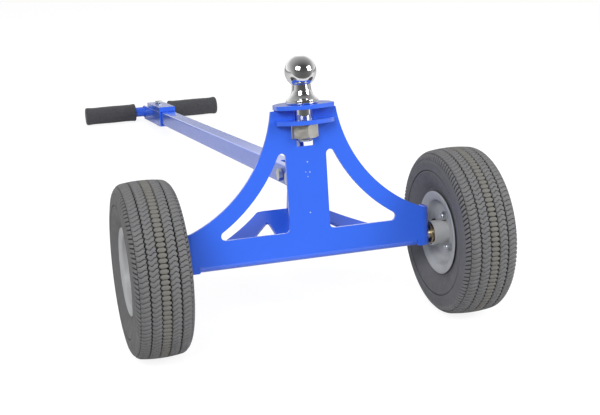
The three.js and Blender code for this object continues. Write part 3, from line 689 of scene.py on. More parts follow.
def blank_outline():
    """The right half of the flat sheet: x across and s up, as if nothing were folded yet."""
    cx, cy, radius = BRACE_OUTER
    rear = BEND_START - BEND_LENGTH - LOWER_DEPTH
    front = BEND_START - BEND_LENGTH - 24
    side = bow((BEND_HALF, front), (LOWER_REAR_HALF, rear), -7, 32)
    corner = [(LOWER_REAR_HALF - 8, rear), (LOWER_REAR_HALF, rear), side[-4]]
    rear_corner = softened(corner, 5, 4, looped=False)
    flange_end = END_START + END_LENGTH + END_REACH - FACE_MIDDLE - END_RADIUS
    flange_foot = body_low.z
    top_x = cx - math.sqrt(radius ** 2 - (cy - FACE_TOP) ** 2)
    brace = arc(cx, cy, radius, math.atan2(END_TOP - cy, END_START - cx),
                math.atan2(FACE_TOP - cy, top_x - cx), 48)
    slit = 0.7
    flange = softened([
        (BEND_HALF + slit, BEND_START + 0.5), (BEND_HALF + slit, flange_foot),
        (flange_end, flange_foot), (flange_end, END_TOP - 2.5), (END_START + 9, END_TOP - 2.5), brace[0],
    ], 3.5, 5, looped=False)
    nut_top, nut_foot = nut_high.z, nut_low.z
    slot = softened([
        brace[-1], (SLOT_HALF, FACE_TOP), (SLOT_HALF, nut_top + 0.6), (POCKET_HALF, nut_top + 0.3),
        (POCKET_HALF, nut_foot - 0.6), (SLOT_HALF, nut_foot - 0.8),
        (SLOT_HALF, SLOT_BOTTOM), (0, SLOT_BOTTOM),
    ], 1.2, 3, looped=False)
    return [
        (0, rear), *rear_corner[:-1], *reversed(side[:-3]), (BEND_HALF, BEND_START + 0.5),
        *flange, *brace[1:-1], *slot,
    ]


LOWER_OPENING = softened([(33, 27), (106, 27), (72, 60), (40, 97)], 7, 5)
opening = [(x, BEND_START - BEND_LENGTH - depth) for x, depth in LOWER_OPENING]
body_blank = blank(mirrored(blank_outline()), [window(), flipped(window()), opening, flipped(opening)])
print("blank:", len(body_blank.vertices), "points")


# %% [markdown]
# Folding moves each point of the flat sheet along an arc, first round the bottom bend, then
# round the two ends. A bend needs points along it, so the sheet is cut into narrow strips across
# each bend before the points move. The strips' lengths stay the same, as they do in a press.

# %% Folding the blank
def folded(x, s):
    """Where a point of the flat sheet goes in the leaning frame."""
    below = BEND_START - s
    if below > 0 and abs(x) <= BEND_HALF + 0.3:
        centre = Vector((FACE_MIDDLE + BEND_RADIUS, BEND_START))
        swept = min(below / BEND_RADIUS, BEND_ANGLE)
        turn_angle = math.pi + swept
        b = centre.x + BEND_RADIUS * math.cos(turn_angle)
        s = centre.y + BEND_RADIUS * math.sin(turn_angle)
        beyond = max(0, below - BEND_LENGTH)
        return x, b - beyond * math.sin(turn_angle), s + beyond * math.cos(turn_angle)
    past = abs(x) - END_START
    if past > 0:
        swept = min(past / END_RADIUS, math.pi / 2)
        beyond = max(0, past - END_LENGTH)
        side = END_START + END_RADIUS * math.sin(swept)
        return math.copysign(side, x), FACE_MIDDLE + END_RADIUS * (1 - math.cos(swept)) + beyond, s
    return x, FACE_MIDDLE, s


shape = bmesh.new()
shape.from_mesh(body_blank)
BEND_CUTS = 12
fold_lines = [((0, BEND_START - BEND_LENGTH * i / BEND_CUTS, 0), (0, 1, 0)) for i in range(BEND_CUTS + 1)]
fold_lines += [((side * (END_START + END_LENGTH * i / BEND_CUTS), 0, 0), (1, 0, 0))
               for side in (-1, 1) for i in range(BEND_CUTS + 1)]
for point, across in fold_lines:
    everything = [*shape.verts, *shape.edges, *shape.faces]
    bmesh.ops.bisect_plane(shape, geom=everything, plane_co=point, plane_no=across, dist=1e-4)
for vertex in shape.verts:
    vertex.co = folded(vertex.co.x, vertex.co.y)
mesh = to_mesh("folded_body", shape, LEAN, angle=0)
mesh = settled(mesh, ("SOLIDIFY", {"thickness": PLATE * MM, "offset": 0, "use_even_offset": True}),
               *edge_broken(0.5 * MM, 40))
piece("folded_body", mesh, "frame", "blue_coat", blue_coat, "body_plate")

# %% [markdown]
# ## Ball plates
# Two thick D-shaped plates hold the ball's shank. The upper one lies on the face's top edge. The
# lower one is welded to the front of the face and has a tongue that reaches back through the
# slot. Each is a flat outline made of two bowed edges, given its thickness by Solidify.

# %% The two ball plates
BALL_AXIS = middle("hitch_ball").y
SHANK_RADIUS = 12.7
PLATE_HALF = 45
upper_low, upper_high = spans("ball_plate_upper")
lower_low, lower_high = spans("ball_plate_lower")


def flat_plate(node, outline, base, thickness):
    """A plate with a hole for the shank, drawn in x and b, that rises from the height s."""
    mesh = blank(outline, [shank_hole])
    mesh.transform(LEAN @ Matrix.Translation((0, 0, base)))
    flat_shape = bmesh.new()
    flat_shape.from_mesh(mesh)
    if sum(f.normal.dot(up) for f in flat_shape.faces) < 0:
        bmesh.ops.reverse_faces(flat_shape, faces=flat_shape.faces)
    flat_shape.to_mesh(mesh)
    flat_shape.free()
    smooth_shaded(mesh, 0)
    mesh = settled(mesh, ("SOLIDIFY", {"thickness": thickness * MM, "offset": 1}),
                   *edge_broken(0.6 * MM, 40, 3))
    piece(f"{node}_seat", mesh, "frame", "blue_coat", blue_coat, node)


shank_hole = arc(0, BALL_AXIS, SHANK_RADIUS + 0.3, 0, 2 * math.pi * 63 / 64, 63)
rear_edge = bow((-PLATE_HALF, -4), (PLATE_HALF, -4), 36, 40)[::-1]
front_edge = bow((PLATE_HALF, -26), (-PLATE_HALF, -26), 17, 36)[::-1]
upper_outline = softened([*rear_edge, *front_edge], 1.5, 2)
flat_plate("ball_plate_upper", upper_outline, upper_low.z, upper_high.z - upper_low.z)

TONGUE_HALF = SLOT_HALF - 0.3
face_side = body_low.y - 0.3
lower_outline = [
    *bow((PLATE_HALF, -22), (-PLATE_HALF, -22), 21, 40)[::-1],
    (PLATE_HALF, face_side), (TONGUE_HALF, face_side), (TONGUE_HALF, lower_high.y),
    (-TONGUE_HALF, lower_high.y), (-TONGUE_HALF, face_side), (-PLATE_HALF, face_side),
]
flat_plate("ball_plate_lower", lower_outline, lower_low.z, lower_high.z - lower_low.z)

# %% [markdown]
# ## Straight steelwork
# The rib, the square handle, the T-bar's bracket and its cap are straight-edged, so their CAD
# shapes are right already. What they lack is broken edges: no sheared or drawn steel has razor
# edges, and the thin bright line along an edge is what makes it look solid. A copy of each CAD
# mesh is merged, its flat faces are joined up, and a bevel rounds the rest.

# %% Merged copies with broken edges
def dressed(name, node, slot, material, width, angle=40):
    shape = bmesh.new()
    shape.from_mesh(frame["nodes"][node].data)
    bmesh.ops.remove_doubles(shape, verts=shape.verts, dist=1e-5)
    bmesh.ops.dissolve_limit(shape, angle_limit=math.radians(0.5), verts=shape.verts, edges=shape.edges)
    mesh = to_mesh(name, shape, None, angle=0)
    mesh = settled(mesh, *edge_broken(width * MM, angle, 3))
    return piece(name, mesh, "frame", slot, material, node)


dressed("rear_rib", "spine_rib", "blue_coat", blue_coat, 0.6)
dressed("square_handle", "handle_tube", "blue_coat", blue_coat, 0.35, 42)
dressed("handle_end_bracket", "t_bar_bracket", "blue_coat", blue_coat, 1.1)
dressed("handle_end_cap", "t_bar_bracket_cap", "blue_coat", blue_coat, 1.2)

# %% [markdown]
# ## Turned pieces
# The ball, the bars, spacers and washers come off a lathe, so they are rings of points about an
# axis. A profile is a short list of radius and height pairs; rounding its corners is what
# separates a turned part from a stack of cylinders.

# %% The hitch ball
ball_low, ball_high = spans("hitch_ball")
BALL_RADIUS = 23.8
BALL_FLAT = 8.5
ball_middle = ball_high.z - math.sqrt(BALL_RADIUS ** 2 - BALL_FLAT ** 2)
SEAT = upper_high.z + 0.3
neck_turn = -math.acos(14.2 / BALL_RADIUS)
flat_turn = math.acos(BALL_FLAT / BALL_RADIUS)
sphere = [(BALL_RADIUS * math.cos(a), ball_middle + BALL_RADIUS * math.sin(a))
          for a in (neck_turn + (flat_turn - neck_turn) * i / 40 for i in range(41))]
shank_foot = softened([
    (SHANK_RADIUS - 1.8, ball_low.z), (SHANK_RADIUS, ball_low.z + 1.6), (SHANK_RADIUS, SEAT - 0.8),
    (24.5, SEAT), (24.5, SEAT + 6.0), (21.6, SEAT + 7.6), (17.2, SEAT + 12.5), (14.9, SEAT + 19),
    sphere[0],
], 1.6, 4, looped=False)
ball_path = [*sphere[:-1], (BALL_FLAT + 0.25, sphere[-1][1] - 0.12), (BALL_FLAT - 0.4, ball_high.z)]
at_ball = LEAN @ Matrix.Translation((0, BALL_AXIS, 0))
mesh = turned("polished_ball", [*shank_foot[:-1], *ball_path], 96, at_ball, angle=50)
piece("polished_ball", mesh, "frame", "chrome", chrome, "hitch_ball")

# %% [markdown]
# The axle and the T bar are solid bars with chamfered ends. The spacers and washers are short
# sleeves in yellow zinc, so their profile closes on itself and the lathe leaves a bore.

# %% The bars, spacers and washers
def sleeve(inner, outer, start, end, cut=0.4):
    return softened([(inner, start), (outer, start), (outer, end), (inner, end)], cut, 3)


def round_bar(name, node, slot, material, cut, steps=48):
    """A solid bar across the dolly with its ends chamfered."""
    low, high = spans(node)
    radius = (high.z - low.z) / 2
    profile = [(radius - cut, low.x), (radius, low.x + cut), (radius, high.x - cut), (radius - cut, high.x)]
    axis = Matrix.Translation((0, (low.y + high.y) / 2, (low.z + high.z) / 2))
    mesh = turned(name, profile, steps, LEAN @ axis @ ACROSS)
    return piece(name, mesh, "frame", slot, material, node)


round_bar("wheel_axle", "axle", "steel", satin_steel, 1.2)
round_bar("cross_bar", "t_bar", "blue_coat", blue_coat, 1.0, 64)
AXLE_RADIUS = (spans("axle")[1].z - spans("axle")[0].z) / 2
for side in ("left", "right"):
    for kind in ("spacer", "washer"):
        low, high = spans(f"{side}_{kind}")
        profile = sleeve(AXLE_RADIUS + 0.3, (high.z - low.z) / 2, low.x, high.x)
        mesh = turned(f"{side}_axle_{kind}", profile, 48, LEAN @ ACROSS, looped=True)
        piece(f"{side}_axle_{kind}", mesh, "frame", "zinc", yellow_zinc, f"{side}_{kind}")

# %% [markdown]
# ## Nuts, bolts and threads
# A hexagon nut is a prism whose corners a cone has trimmed on both sides. Drawn as rings, each
# point's height falls with its distance from the axis, which gives the curved chamfer for
# nothing. A thread is a cylinder whose radius rises and falls once a pitch and once a turn.

# %% Hexagons and threads
def hexagon_rings(flats, height, bore=0.0, base=0.0, steps=6, trim=(True, True)):
    """Rings of a nut or head that stands from base to base + height."""
    count = 6 * steps
    inner = flats / 2 * 0.95
    slope = math.tan(math.radians(28))
    turns = [2 * math.pi * j / count for j in range(count)]
    reach = [flats / 2 / math.cos(((a + math.pi / 6) % (math.pi / 3)) - math.pi / 6) for a in turns]

    def ring(radii, heights):
        return [(r * math.cos(a), r * math.sin(a), z) for r, a, z in zip(radii, turns, heights)]

    fall = [(r - inner) * slope for r in reach]
    top = base + height
    rings = [
        ring([inner] * count, [base] * count),
        ring(reach, [base + (f if trim[0] else 0.3) for f in fall]),
        ring(reach, [top - (f if trim[1] else 0.3) for f in fall]),
        ring([inner] * count, [top] * count),
    ]
    if bore:
        lead = 0.7
        rings += [ring([bore + lead] * count, [top] * count), ring([bore] * count, [top - lead] * count),
                  ring([bore] * count, [base + lead] * count), ring([bore + lead] * count, [base] * count)]
    return rings


def thread_rings(radius, start, end, pitch, depth, steps=24, rows=6):
    """A helical thread from start to end, with a plain point at the end."""
    rings = []
    total = max(4, round((end - start) / pitch * rows))
    for i in range(total + 1):
        height = start + (end - start) * i / total
        fade = min(1, (end - height) / pitch, (height - start) / pitch + 0.2)
        ring = []
        for j in range(steps):
            phase = (height / pitch - j / steps) % 1
            r = radius - depth * abs(2 * phase - 1) * max(0, fade) - (0.6 * depth if i == total else 0)
            a = 2 * math.pi * j / steps
            ring.append((r * math.cos(a), r * math.sin(a), height))
        rings.append(ring)
    return rings


def bolt_mesh(name, radius, flats, head, length, threaded, pitch=1.5):
    """A hexagon bolt: its head hangs below z = 0 and its shank stands above it."""
    shape = bmesh.new()
    skin(shape, hexagon_rings(flats, head, base=-head, trim=(True, False)))
    plain_end = length - threaded
    skin(shape, [circle(radius, -0.5, 24), circle(radius, plain_end, 24)])
    skin(shape, thread_rings(radius, plain_end - 0.2, length, pitch, 0.6))
    return to_mesh(name, shape, Matrix.Scale(MM, 4))


def nut_mesh(name, bore, flats, height):
    shape = bmesh.new()
    skin(shape, hexagon_rings(flats, height, bore), looped=True)
    return to_mesh(name, shape, Matrix.Scale(MM, 4))


shape = bmesh.new()
skin(shape, hexagon_rings(38.1, nut_high.z - nut_low.z, SHANK_RADIUS + 0.3, nut_low.z, 12), looped=True)
mesh = to_mesh("ball_nut", shape, LEAN @ Matrix.Translation((0, BALL_AXIS, 0)))
piece("ball_nut", mesh, "frame", "steel", satin_steel, "hitch_nut")

# %% [markdown]
# ## Trees that repeat a piece
# Bolts, tread blocks and weld ripples all repeat. Geometry Nodes repeat a shape along points, a
# ring or a path, with the sizes as named inputs, so one tree serves many places. Each tree ends
# by realising its instances and setting the finish, and the result is then made a plain mesh.

# %% Helpers for the trees
def new_tree(name, *inputs):
    """A tree with a geometry input and output, and the named inputs given as (name, kind)."""
    tree = bpy.data.node_groups.new(name, "GeometryNodeTree")
    tree.interface.new_socket("Geometry", in_out="INPUT", socket_type="NodeSocketGeometry")
    for label, kind in inputs:
        tree.interface.new_socket(label, in_out="INPUT", socket_type=f"NodeSocket{kind}")
    tree.interface.new_socket("Geometry", in_out="OUTPUT", socket_type="NodeSocketGeometry")
    return tree, tree.nodes.new("NodeGroupInput"), tree.nodes.new("NodeGroupOutput")


def add(tree, kind, links=(), **settings):
    """A node with its properties set and its inputs linked or given as (socket, source) pairs."""
    node = tree.nodes.new(kind)
    for key, value in settings.items():
        setattr(node, key, value)
    for socket, source in links:
        if hasattr(source, "is_output"):
            tree.links.new(source, node.inputs[socket])
        else:
            node.inputs[socket].default_value = source
    return node


def close_tree(tree, inlet, outlet, geometry):
    """Ends a tree: real geometry in its finish."""
    real = add(tree, "GeometryNodeRealizeInstances", [(0, geometry)])
    painted = add(tree, "GeometryNodeSetMaterial", [
        (0, real.outputs[0]), ("Material", inlet.outputs["Finish"])])
    tree.links.new(painted.outputs[0], outlet.inputs[0])


def grown(host, tree, **values):
    """The plain mesh that a tree grows on a host mesh, with the tree's named inputs set."""
    worker = bpy.data.objects.new("worker", host)
    scene.collection.objects.link(worker)
    modifier = worker.modifiers.new("grow", "NODES")
    modifier.node_group = tree
    for item in tree.interface.items_tree:
        label = item.name.replace(" ", "_")
        if item.in_out == "INPUT" and label in values:
            modifier[item.identifier] = values[label]
    return made_plain(worker)


def pattern(mesh):
    """An unshown object that holds a mesh for a tree to repeat."""
    holder = bpy.data.objects.new(mesh.name, mesh)
    scene.collection.objects.link(holder)
    holder.hide_render = True
    return holder


def points_mesh(points, loops=()):
    """Bare points, or the edges that join them when loops says how, for a tree to grow on."""
    mesh = bpy.data.meshes.new("points")
    mesh.from_pydata(points, loops, [])
    return mesh


print("tree helpers are ready")

# %% [markdown]
# Each fastener goes in square to its sheet but is left at whatever turn the spanner stopped, so
# the tree points the bolt along its axis and spins it by a seeded random angle.

# %% A tree for bolts and nuts
fastener_tree, inlet, outlet = new_tree(
    "fasteners", ("Fastener", "Object"), ("Axis", "Vector"), ("Seed", "Int"), ("Finish", "Material"))
one = add(fastener_tree, "GeometryNodeObjectInfo", [("Object", inlet.outputs["Fastener"])])
aimed = add(fastener_tree, "FunctionNodeAlignRotationToVector", [("Vector", inlet.outputs["Axis"])])
stopped = add(fastener_tree, "FunctionNodeRandomValue", [
    (2, 0.0), (3, 2 * math.pi), ("Seed", inlet.outputs["Seed"])])
spun = add(fastener_tree, "FunctionNodeAxisAngleToRotation", [
    ("Axis", (0, 0, 1)), ("Angle", stopped.outputs[1])])
both = add(fastener_tree, "FunctionNodeRotateRotation", [
    ("Rotation", aimed.outputs[0]), ("Rotate By", spun.outputs[0])], rotation_space="LOCAL")
placed = add(fastener_tree, "GeometryNodeInstanceOnPoints", [
    ("Points", inlet.outputs["Geometry"]), ("Instance", one.outputs["Geometry"]),
    ("Rotation", both.outputs[0])])
close_tree(fastener_tree, inlet, outlet, placed.outputs[0])


def fasteners(name, body, fastener, nodes, points, axis, seed):
    """One mesh of like fasteners on a body. Points say where each one's clamped face is."""
    mesh = grown(points_mesh(points), fastener_tree,
                 Fastener=fastener, Axis=axis, Seed=seed, Finish=clear_zinc)
    return piece(name, mesh, body, "zinc", clear_zinc, *nodes)


print("fastener tree has", len(fastener_tree.nodes), "nodes")

# %% [markdown]
# Two bolts cross the handle and the rib, and one stands down through the cap, the tube and the
# bracket. Each bolt's place is read off its CAD node: under the head, where it clamps.

# %% Bolts of the handle
HANDLE_BOLT_RADIUS, HANDLE_FLATS, HANDLE_HEAD, HANDLE_THREAD = 5, 17, 7, 22
handle_bolt_nodes = [f"handle_bolt_{i}" for i in (1, 2)]
handle_nut_nodes = [f"handle_nut_{i}" for i in (1, 2)]
low, high = spans("handle_bolt_1")
long_bolt = pattern(bolt_mesh(
    "long_bolt", HANDLE_BOLT_RADIUS, HANDLE_FLATS, HANDLE_HEAD, high.x - low.x - HANDLE_HEAD, HANDLE_THREAD))
low, high = spans("handle_nut_1")
big_nut = pattern(nut_mesh("big_nut", HANDLE_BOLT_RADIUS + 0.2, HANDLE_FLATS, high.x - low.x))


def left_face(node, inset=0):
    """A point on the left face of a fastener that lies across the dolly, or so far inside it."""
    return LEAN @ Vector((spans(node)[0].x + inset, middle(node).y, middle(node).z))


under_heads = [left_face(node, HANDLE_HEAD) for node in handle_bolt_nodes]
under_nuts = [left_face(node) for node in handle_nut_nodes]
fasteners("handle_bolts", "frame", long_bolt, handle_bolt_nodes, under_heads, (1, 0, 0), 3)
fasteners("handle_nuts", "frame", big_nut, handle_nut_nodes, under_nuts, (1, 0, 0), 5)

low, high = spans("t_bar_bolt")
bar_bolt = pattern(bolt_mesh(
    "bar_bolt", HANDLE_BOLT_RADIUS, HANDLE_FLATS, HANDLE_HEAD, high.z - low.z - HANDLE_HEAD, HANDLE_THREAD))
at_nut = middle("t_bar_nut")
head_point = LEAN @ Vector((0, at_nut.y, high.z - HANDLE_HEAD))
nut_point = LEAN @ Vector((0, at_nut.y, spans("t_bar_nut")[1].z))
fasteners("cap_bolt", "frame", bar_bolt, ["t_bar_bolt"], [head_point], -up, 9)
fasteners("cap_nut", "frame", big_nut, ["t_bar_nut"], [nut_point], -up, 4)

# %% [markdown]
# ## Wheels
# Each wheel is a tyre on a two-piece rim that three bolts clamp round a hub, with a bearing at
# each end of the hub. Both wheels are the same, so a wheel is drawn once about its own middle,
# with x pointing outboard, and the left one is the right one turned half way round.

# %% Where the wheels are
wheel_low, wheel_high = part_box("right_tyre")
HALF_TRACK = (wheel_low.x + wheel_high.x) / 2
AT_WHEEL = {
    "right": Matrix.Translation((HALF_TRACK, axle_point.y, axle_point.z)) @ Matrix.Scale(MM, 4),
    "left": Matrix.Translation((-HALF_TRACK, axle_point.y, axle_point.z)) @ Matrix.Rotation(math.pi, 4, "Z")
            @ Matrix.Scale(MM, 4),
}
TYRE_RADIUS = (wheel_high.z - wheel_low.z) / 2 / MM
TYRE_HALF = (wheel_high.x - wheel_low.x) / 2 / MM
DISC = -19.5
RIM_SHEET = 2.4
GAP = 0.3
HUB_RADIUS = 19.5
print("tyre radius", round(TYRE_RADIUS, 1), "mm, half width", round(TYRE_HALF, 1), "mm")

# %% [markdown]
# The tyre has a sawtooth tread: five ribs parted by four zigzag grooves. The centre rib is a row
# of small six-sided blocks, the others are cut by wavy sipes, and the shoulder carries slanted
# lugs. The carcass is a lathe piece with shallow rings on its sidewall. One pitch of tread is
# drawn as a few closed blocks, and a tree sets it round the carcass a hundred and ten times.

# %% The tyre's carcass
GROOVE_DEPTH = 3.8
TREAD_HALF = 36.0
SEAM_RADIUS = 99.5
SIDE_RINGS = (
    # radius, height, width of each moulded ring; a negative height is a groove
    (112.0, 0.6, 0.9), (108.5, 0.5, 0.7), (SEAM_RADIUS, -1.1, 0.7), (96.5, 0.5, 0.9),
    (75.5, 0.6, 0.9), (71.5, -0.8, 0.6),
)


def crown(u):
    """How far the tread's surface falls below its middle, at a distance u across."""
    u = abs(u)
    return 1.8 * (u / 26.4) ** 2 + max(0, (u - 30) / 6.5) ** 2 * 2.2


def sidewall():
    """Radius and half width down the sidewall from the tread's edge to the bead."""
    edge = TYRE_RADIUS - crown(TREAD_HALF) - GROOVE_DEPTH * 0.4
    coarse = [(edge, TREAD_HALF + 0.4), (edge - 3.5, TREAD_HALF + 3), (TYRE_RADIUS - 15, 41.3),
              (TYRE_RADIUS - 22, 42.8), (TYRE_RADIUS - 31, TYRE_HALF), (TYRE_RADIUS - 42, 42.0),
              (TYRE_RADIUS - 52, 38.4), (74.5, 34.2), (67.8, 32.0), (56.2, 29.0)]
    path = [Vector(p) for p in softened(coarse, 8, 6, looped=False)]
    fine = []
    for p, q in zip(path, path[1:]):
        parts = max(1, round((q - p).length / 0.9))
        fine += [p.lerp(q, k / parts) for k in range(parts)]
    fine.append(path[-1])
    return [(p.x, p.y + sum(h * math.exp(-((p.x - r) / w) ** 2) for r, h, w in SIDE_RINGS)) for p in fine]


side_path = sidewall()
base_path = [(TYRE_RADIUS - crown(u) - GROOVE_DEPTH, u) for u in range(0, 36, 3)]
inside_path = softened([
    side_path[-1], (TYRE_RADIUS - 46, TYRE_HALF - 10), (TYRE_RADIUS - 20, TYRE_HALF - 10),
    (TYRE_RADIUS - 10, 20), (TYRE_RADIUS - 10, 0)], 6, 3, looped=False)[1:-1]
half_profile = [*base_path, *side_path, *inside_path]
carcass_profile = [*half_profile, *[(r, -x) for r, x in reversed(half_profile[1:])]]
carcass = turned("carcass", carcass_profile, 144, Matrix.Scale(MM, 4) @ ACROSS, looped=True, angle=50)


def set_dust_and_shade(mesh, value_at):
    """Stores each point's dust, and painted shade where the value is low, from its distance across and its radius
    in millimetres.
    """
    attribute = mesh.attributes.new("dust", "FLOAT", "POINT")
    for vertex, entry in zip(mesh.vertices, attribute.data):
        entry.value = value_at(vertex.co.x / MM, math.hypot(vertex.co.y, vertex.co.z) / MM)


SIDE_DUST = 0.5
# painted shade: nearly black in grooves, the gaps between lugs and the seam
GROOVE_SHADE = 0.05


def carcass_dust_and_shade(u, r):
    """Grooves, the gaps between lugs and the moulding seam get painted shade: a low value that turns them nearly
    black. The rest of the sidewall gets dust.
    """
    if r > TYRE_RADIUS - 15.5 or abs(r - SEAM_RADIUS) < 0.8:
        return GROOVE_SHADE
    return SIDE_DUST


set_dust_and_shade(carcass, carcass_dust_and_shade)
print("carcass:", len(carcass.polygons), "faces")

# %% [markdown]
# One pitch of tread is five blocks and two shoulder lugs. Each block's outline is drawn flat, u
# across and v round the tyre, and wrapped on the crown. Its foot sinks into the carcass, so no
# gap shows, and its top edge is broken, so that it catches the light.

# %% One pitch of tread
PITCHES = 110
PITCH = 2 * math.pi * TYRE_RADIUS / PITCHES
SIPE = 0.95
BLOCK_HALF = (PITCH - SIPE) / 2


def on_tread(u, v, depth):
    """A point of the tread in metres: u across, v round the tyre, at a depth below its surface."""
    angle = v / TYRE_RADIUS
    radius = TYRE_RADIUS - crown(u) - depth
    return (u * MM, radius * math.cos(angle) * MM, radius * math.sin(angle) * MM)


def block(shape, outline, broken=0.45):
    """A tread block: its outline sunk into the carcass, its top edge broken."""
    centre = sum((Vector(p) for p in outline), Vector((0, 0))) / len(outline)
    top_edge = []
    for point in outline:
        away = Vector(point) - centre
        top_edge.append(centre + away * (1 - broken / max(away.length, 1)))
    skin(shape, [[on_tread(u, v, GROOVE_DEPTH + 0.6) for u, v in outline],
                 [on_tread(u, v, broken * 0.7) for u, v in outline],
                 [on_tread(u, v, 0) for u, v in top_edge]])


def rib_block(inner, outer, wave, zig_inner, zig_outer):
    """A block between two grooves: wavy sipes above and below, pointed towards the grooves."""
    steps = 6
    spread = [(inner + (outer - inner) * i / steps) for i in range(steps + 1)]
    bend = [wave * math.sin(2 * math.pi * i / steps) for i in range(steps + 1)]
    low_edge = [(u, -BLOCK_HALF + w) for u, w in zip(spread, bend)]
    high_edge = [(u, BLOCK_HALF + w) for u, w in zip(spread, bend)]
    return [*low_edge, (outer + zig_outer, 0), *reversed(high_edge), (inner + zig_inner, 0)]


GROOVE = 2.4
ZIG = 2.0
CENTRE_HALF = 4.4
centre_block = [(CENTRE_HALF - 1, -BLOCK_HALF), (CENTRE_HALF + ZIG, -1.2), (CENTRE_HALF + ZIG, 1.2),
                (CENTRE_HALF - 1, BLOCK_HALF), (1 - CENTRE_HALF, BLOCK_HALF), (-CENTRE_HALF - ZIG, 1.2),
                (-CENTRE_HALF - ZIG, -1.2), (1 - CENTRE_HALF, -BLOCK_HALF)]
second = rib_block(CENTRE_HALF + GROOVE, 19.6, 2.2, ZIG, ZIG)
outer_rib = rib_block(19.6 + GROOVE, TREAD_HALF, 1.6, ZIG, 0)


def shoulder_lug(shape, side):
    """A slanted lug over the shoulder, following the sidewall's path."""
    path = [p for p in side_path if p[0] > TYRE_RADIUS - 17][::3]
    rings = []
    for i, (radius, x) in enumerate(path):
        slant = 0.55 * (TYRE_RADIUS - radius)
        width = (PITCH - 2.2) / 2
        raised = 1.1 if 0 < i < len(path) - 1 else -0.2
        ring = []
        for v, lift in ((-width, -1.0), (-width, 0.0), (-width + 0.5, raised), (width - 0.5, raised),
                        (width, 0.0), (width, -1.0)):
            angle = (v + slant) / TYRE_RADIUS
            reach = radius + lift * 0.75
            out = side * (x + lift * 0.65)
            ring.append((out * MM, reach * math.cos(angle) * MM, reach * math.sin(angle) * MM))
        rings.append(ring)
    skin(shape, rings)


shape = bmesh.new()
block(shape, centre_block)
for outline in (second, outer_rib):
    block(shape, outline)
    block(shape, [(-u, -v) for u, v in outline])
for side in (-1, 1):
    shoulder_lug(shape, side)
tread_pitch = to_mesh("tread_pitch", shape, None, angle=50)
CENTRE_DUST = 1.0
RIB_DUST = 0.62


def block_dust_and_shade(u, r):
    # groove walls more than a millimetre below the block's top get painted shade (0); block tops get dust
    deep = TYRE_RADIUS - crown(u) - r > 1.0 if abs(u) < TREAD_HALF + 0.2 else r < 0
    return 0.0 if deep else CENTRE_DUST if abs(u) < CENTRE_HALF + ZIG + 0.1 else RIB_DUST


set_dust_and_shade(tread_pitch, block_dust_and_shade)
print("one pitch:", len(tread_pitch.polygons), "faces,", PITCHES, "pitches")

# %% [markdown]
# The tread's tree sets one pitch at each step of a turn about the axle. A line of points with no
# length holds the count, and the index of a point tells how far round its pitch goes.

# %% A tree for the tread, and the tyres
tread_tree, inlet, outlet = new_tree(
    "tread", ("Tread pitch", "Object"), ("Pitches", "Int"), ("Finish", "Material"))
one = add(tread_tree, "GeometryNodeObjectInfo", [("Object", inlet.outputs["Tread pitch"])])
row = add(tread_tree, "GeometryNodeMeshLine", [
    ("Count", inlet.outputs["Pitches"]), ("Offset", (0, 0, 0))], mode="OFFSET")
index = add(tread_tree, "GeometryNodeInputIndex")
step = add(tread_tree, "ShaderNodeMath", [
    (0, 2 * math.pi), (1, inlet.outputs["Pitches"])], operation="DIVIDE")
angle = add(tread_tree, "ShaderNodeMath", [
    (0, index.outputs[0]), (1, step.outputs[0])], operation="MULTIPLY")
about_x = add(tread_tree, "ShaderNodeCombineXYZ", [("X", angle.outputs[0])])
ring = add(tread_tree, "GeometryNodeInstanceOnPoints", [
    ("Points", row.outputs[0]), ("Instance", one.outputs["Geometry"]), ("Rotation", about_x.outputs[0])])
joined = add(tread_tree, "GeometryNodeJoinGeometry", [(0, ring.outputs[0])])
tread_tree.links.new(inlet.outputs["Geometry"], joined.inputs[0])
close_tree(tread_tree, inlet, outlet, joined.outputs[0])
tyre_mesh = grown(carcass, tread_tree, Tread_pitch=pattern(tread_pitch), Pitches=PITCHES, Finish=rubber)
for side, place in AT_WHEEL.items():
    mesh = tyre_mesh.copy()
    mesh.transform(place @ Matrix.Scale(1 / MM, 4))
    piece(f"{side}_sawtooth_tyre", mesh, f"{side}_wheel", "tyre_rubber", rubber, f"{side}_tyre")

# %% [markdown]
# The rim halves are stamped discs whose edges roll outwards into a lip. The hub is a bored tube
# with a pocket for a bearing at each end. All of them are lathe pieces, with generous rounds where
# sheet was bent and small ones where metal was cut.

# %% Rims, hubs, bearings and valves
LIP = 35
OUTER_HALF_PATH = [
    (HUB_RADIUS + GAP, DISC + 0.15), (45, DISC + 0.15), (49.5, 0.65), (54.5, 20), (55.0, 31.2),
    (60.5, 33.6),
    (66.3, LIP - 0.6), (66.3, LIP + 1.4), (62.5, LIP + 1.2), (53.5, LIP - 1.4), (52.1, 21), (47.1, 1.65),
    (43, DISC + 0.15 + RIM_SHEET), (HUB_RADIUS + GAP, DISC + 0.15 + RIM_SHEET)]
INNER_HALF_PATH = [
    (HUB_RADIUS + GAP, DISC - 0.15), (47, DISC - 0.15), (50, -21.65), (54.9, -31.0), (60.5, -33.6),
    (66.3, 0.6 - LIP), (66.3, -1.4 - LIP), (62.5, -1.2 - LIP), (52.2, -33.2), (48, -25.05),
    (45, DISC - 0.15 - RIM_SHEET), (HUB_RADIUS + GAP, DISC - 0.15 - RIM_SHEET)]


def local_span(node):
    """Inboard and outboard ends of a right-hand wheel piece, from the wheel's middle in millimetres."""
    low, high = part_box(node)
    return (low.x - HALF_TRACK) / MM, (high.x - HALF_TRACK) / MM


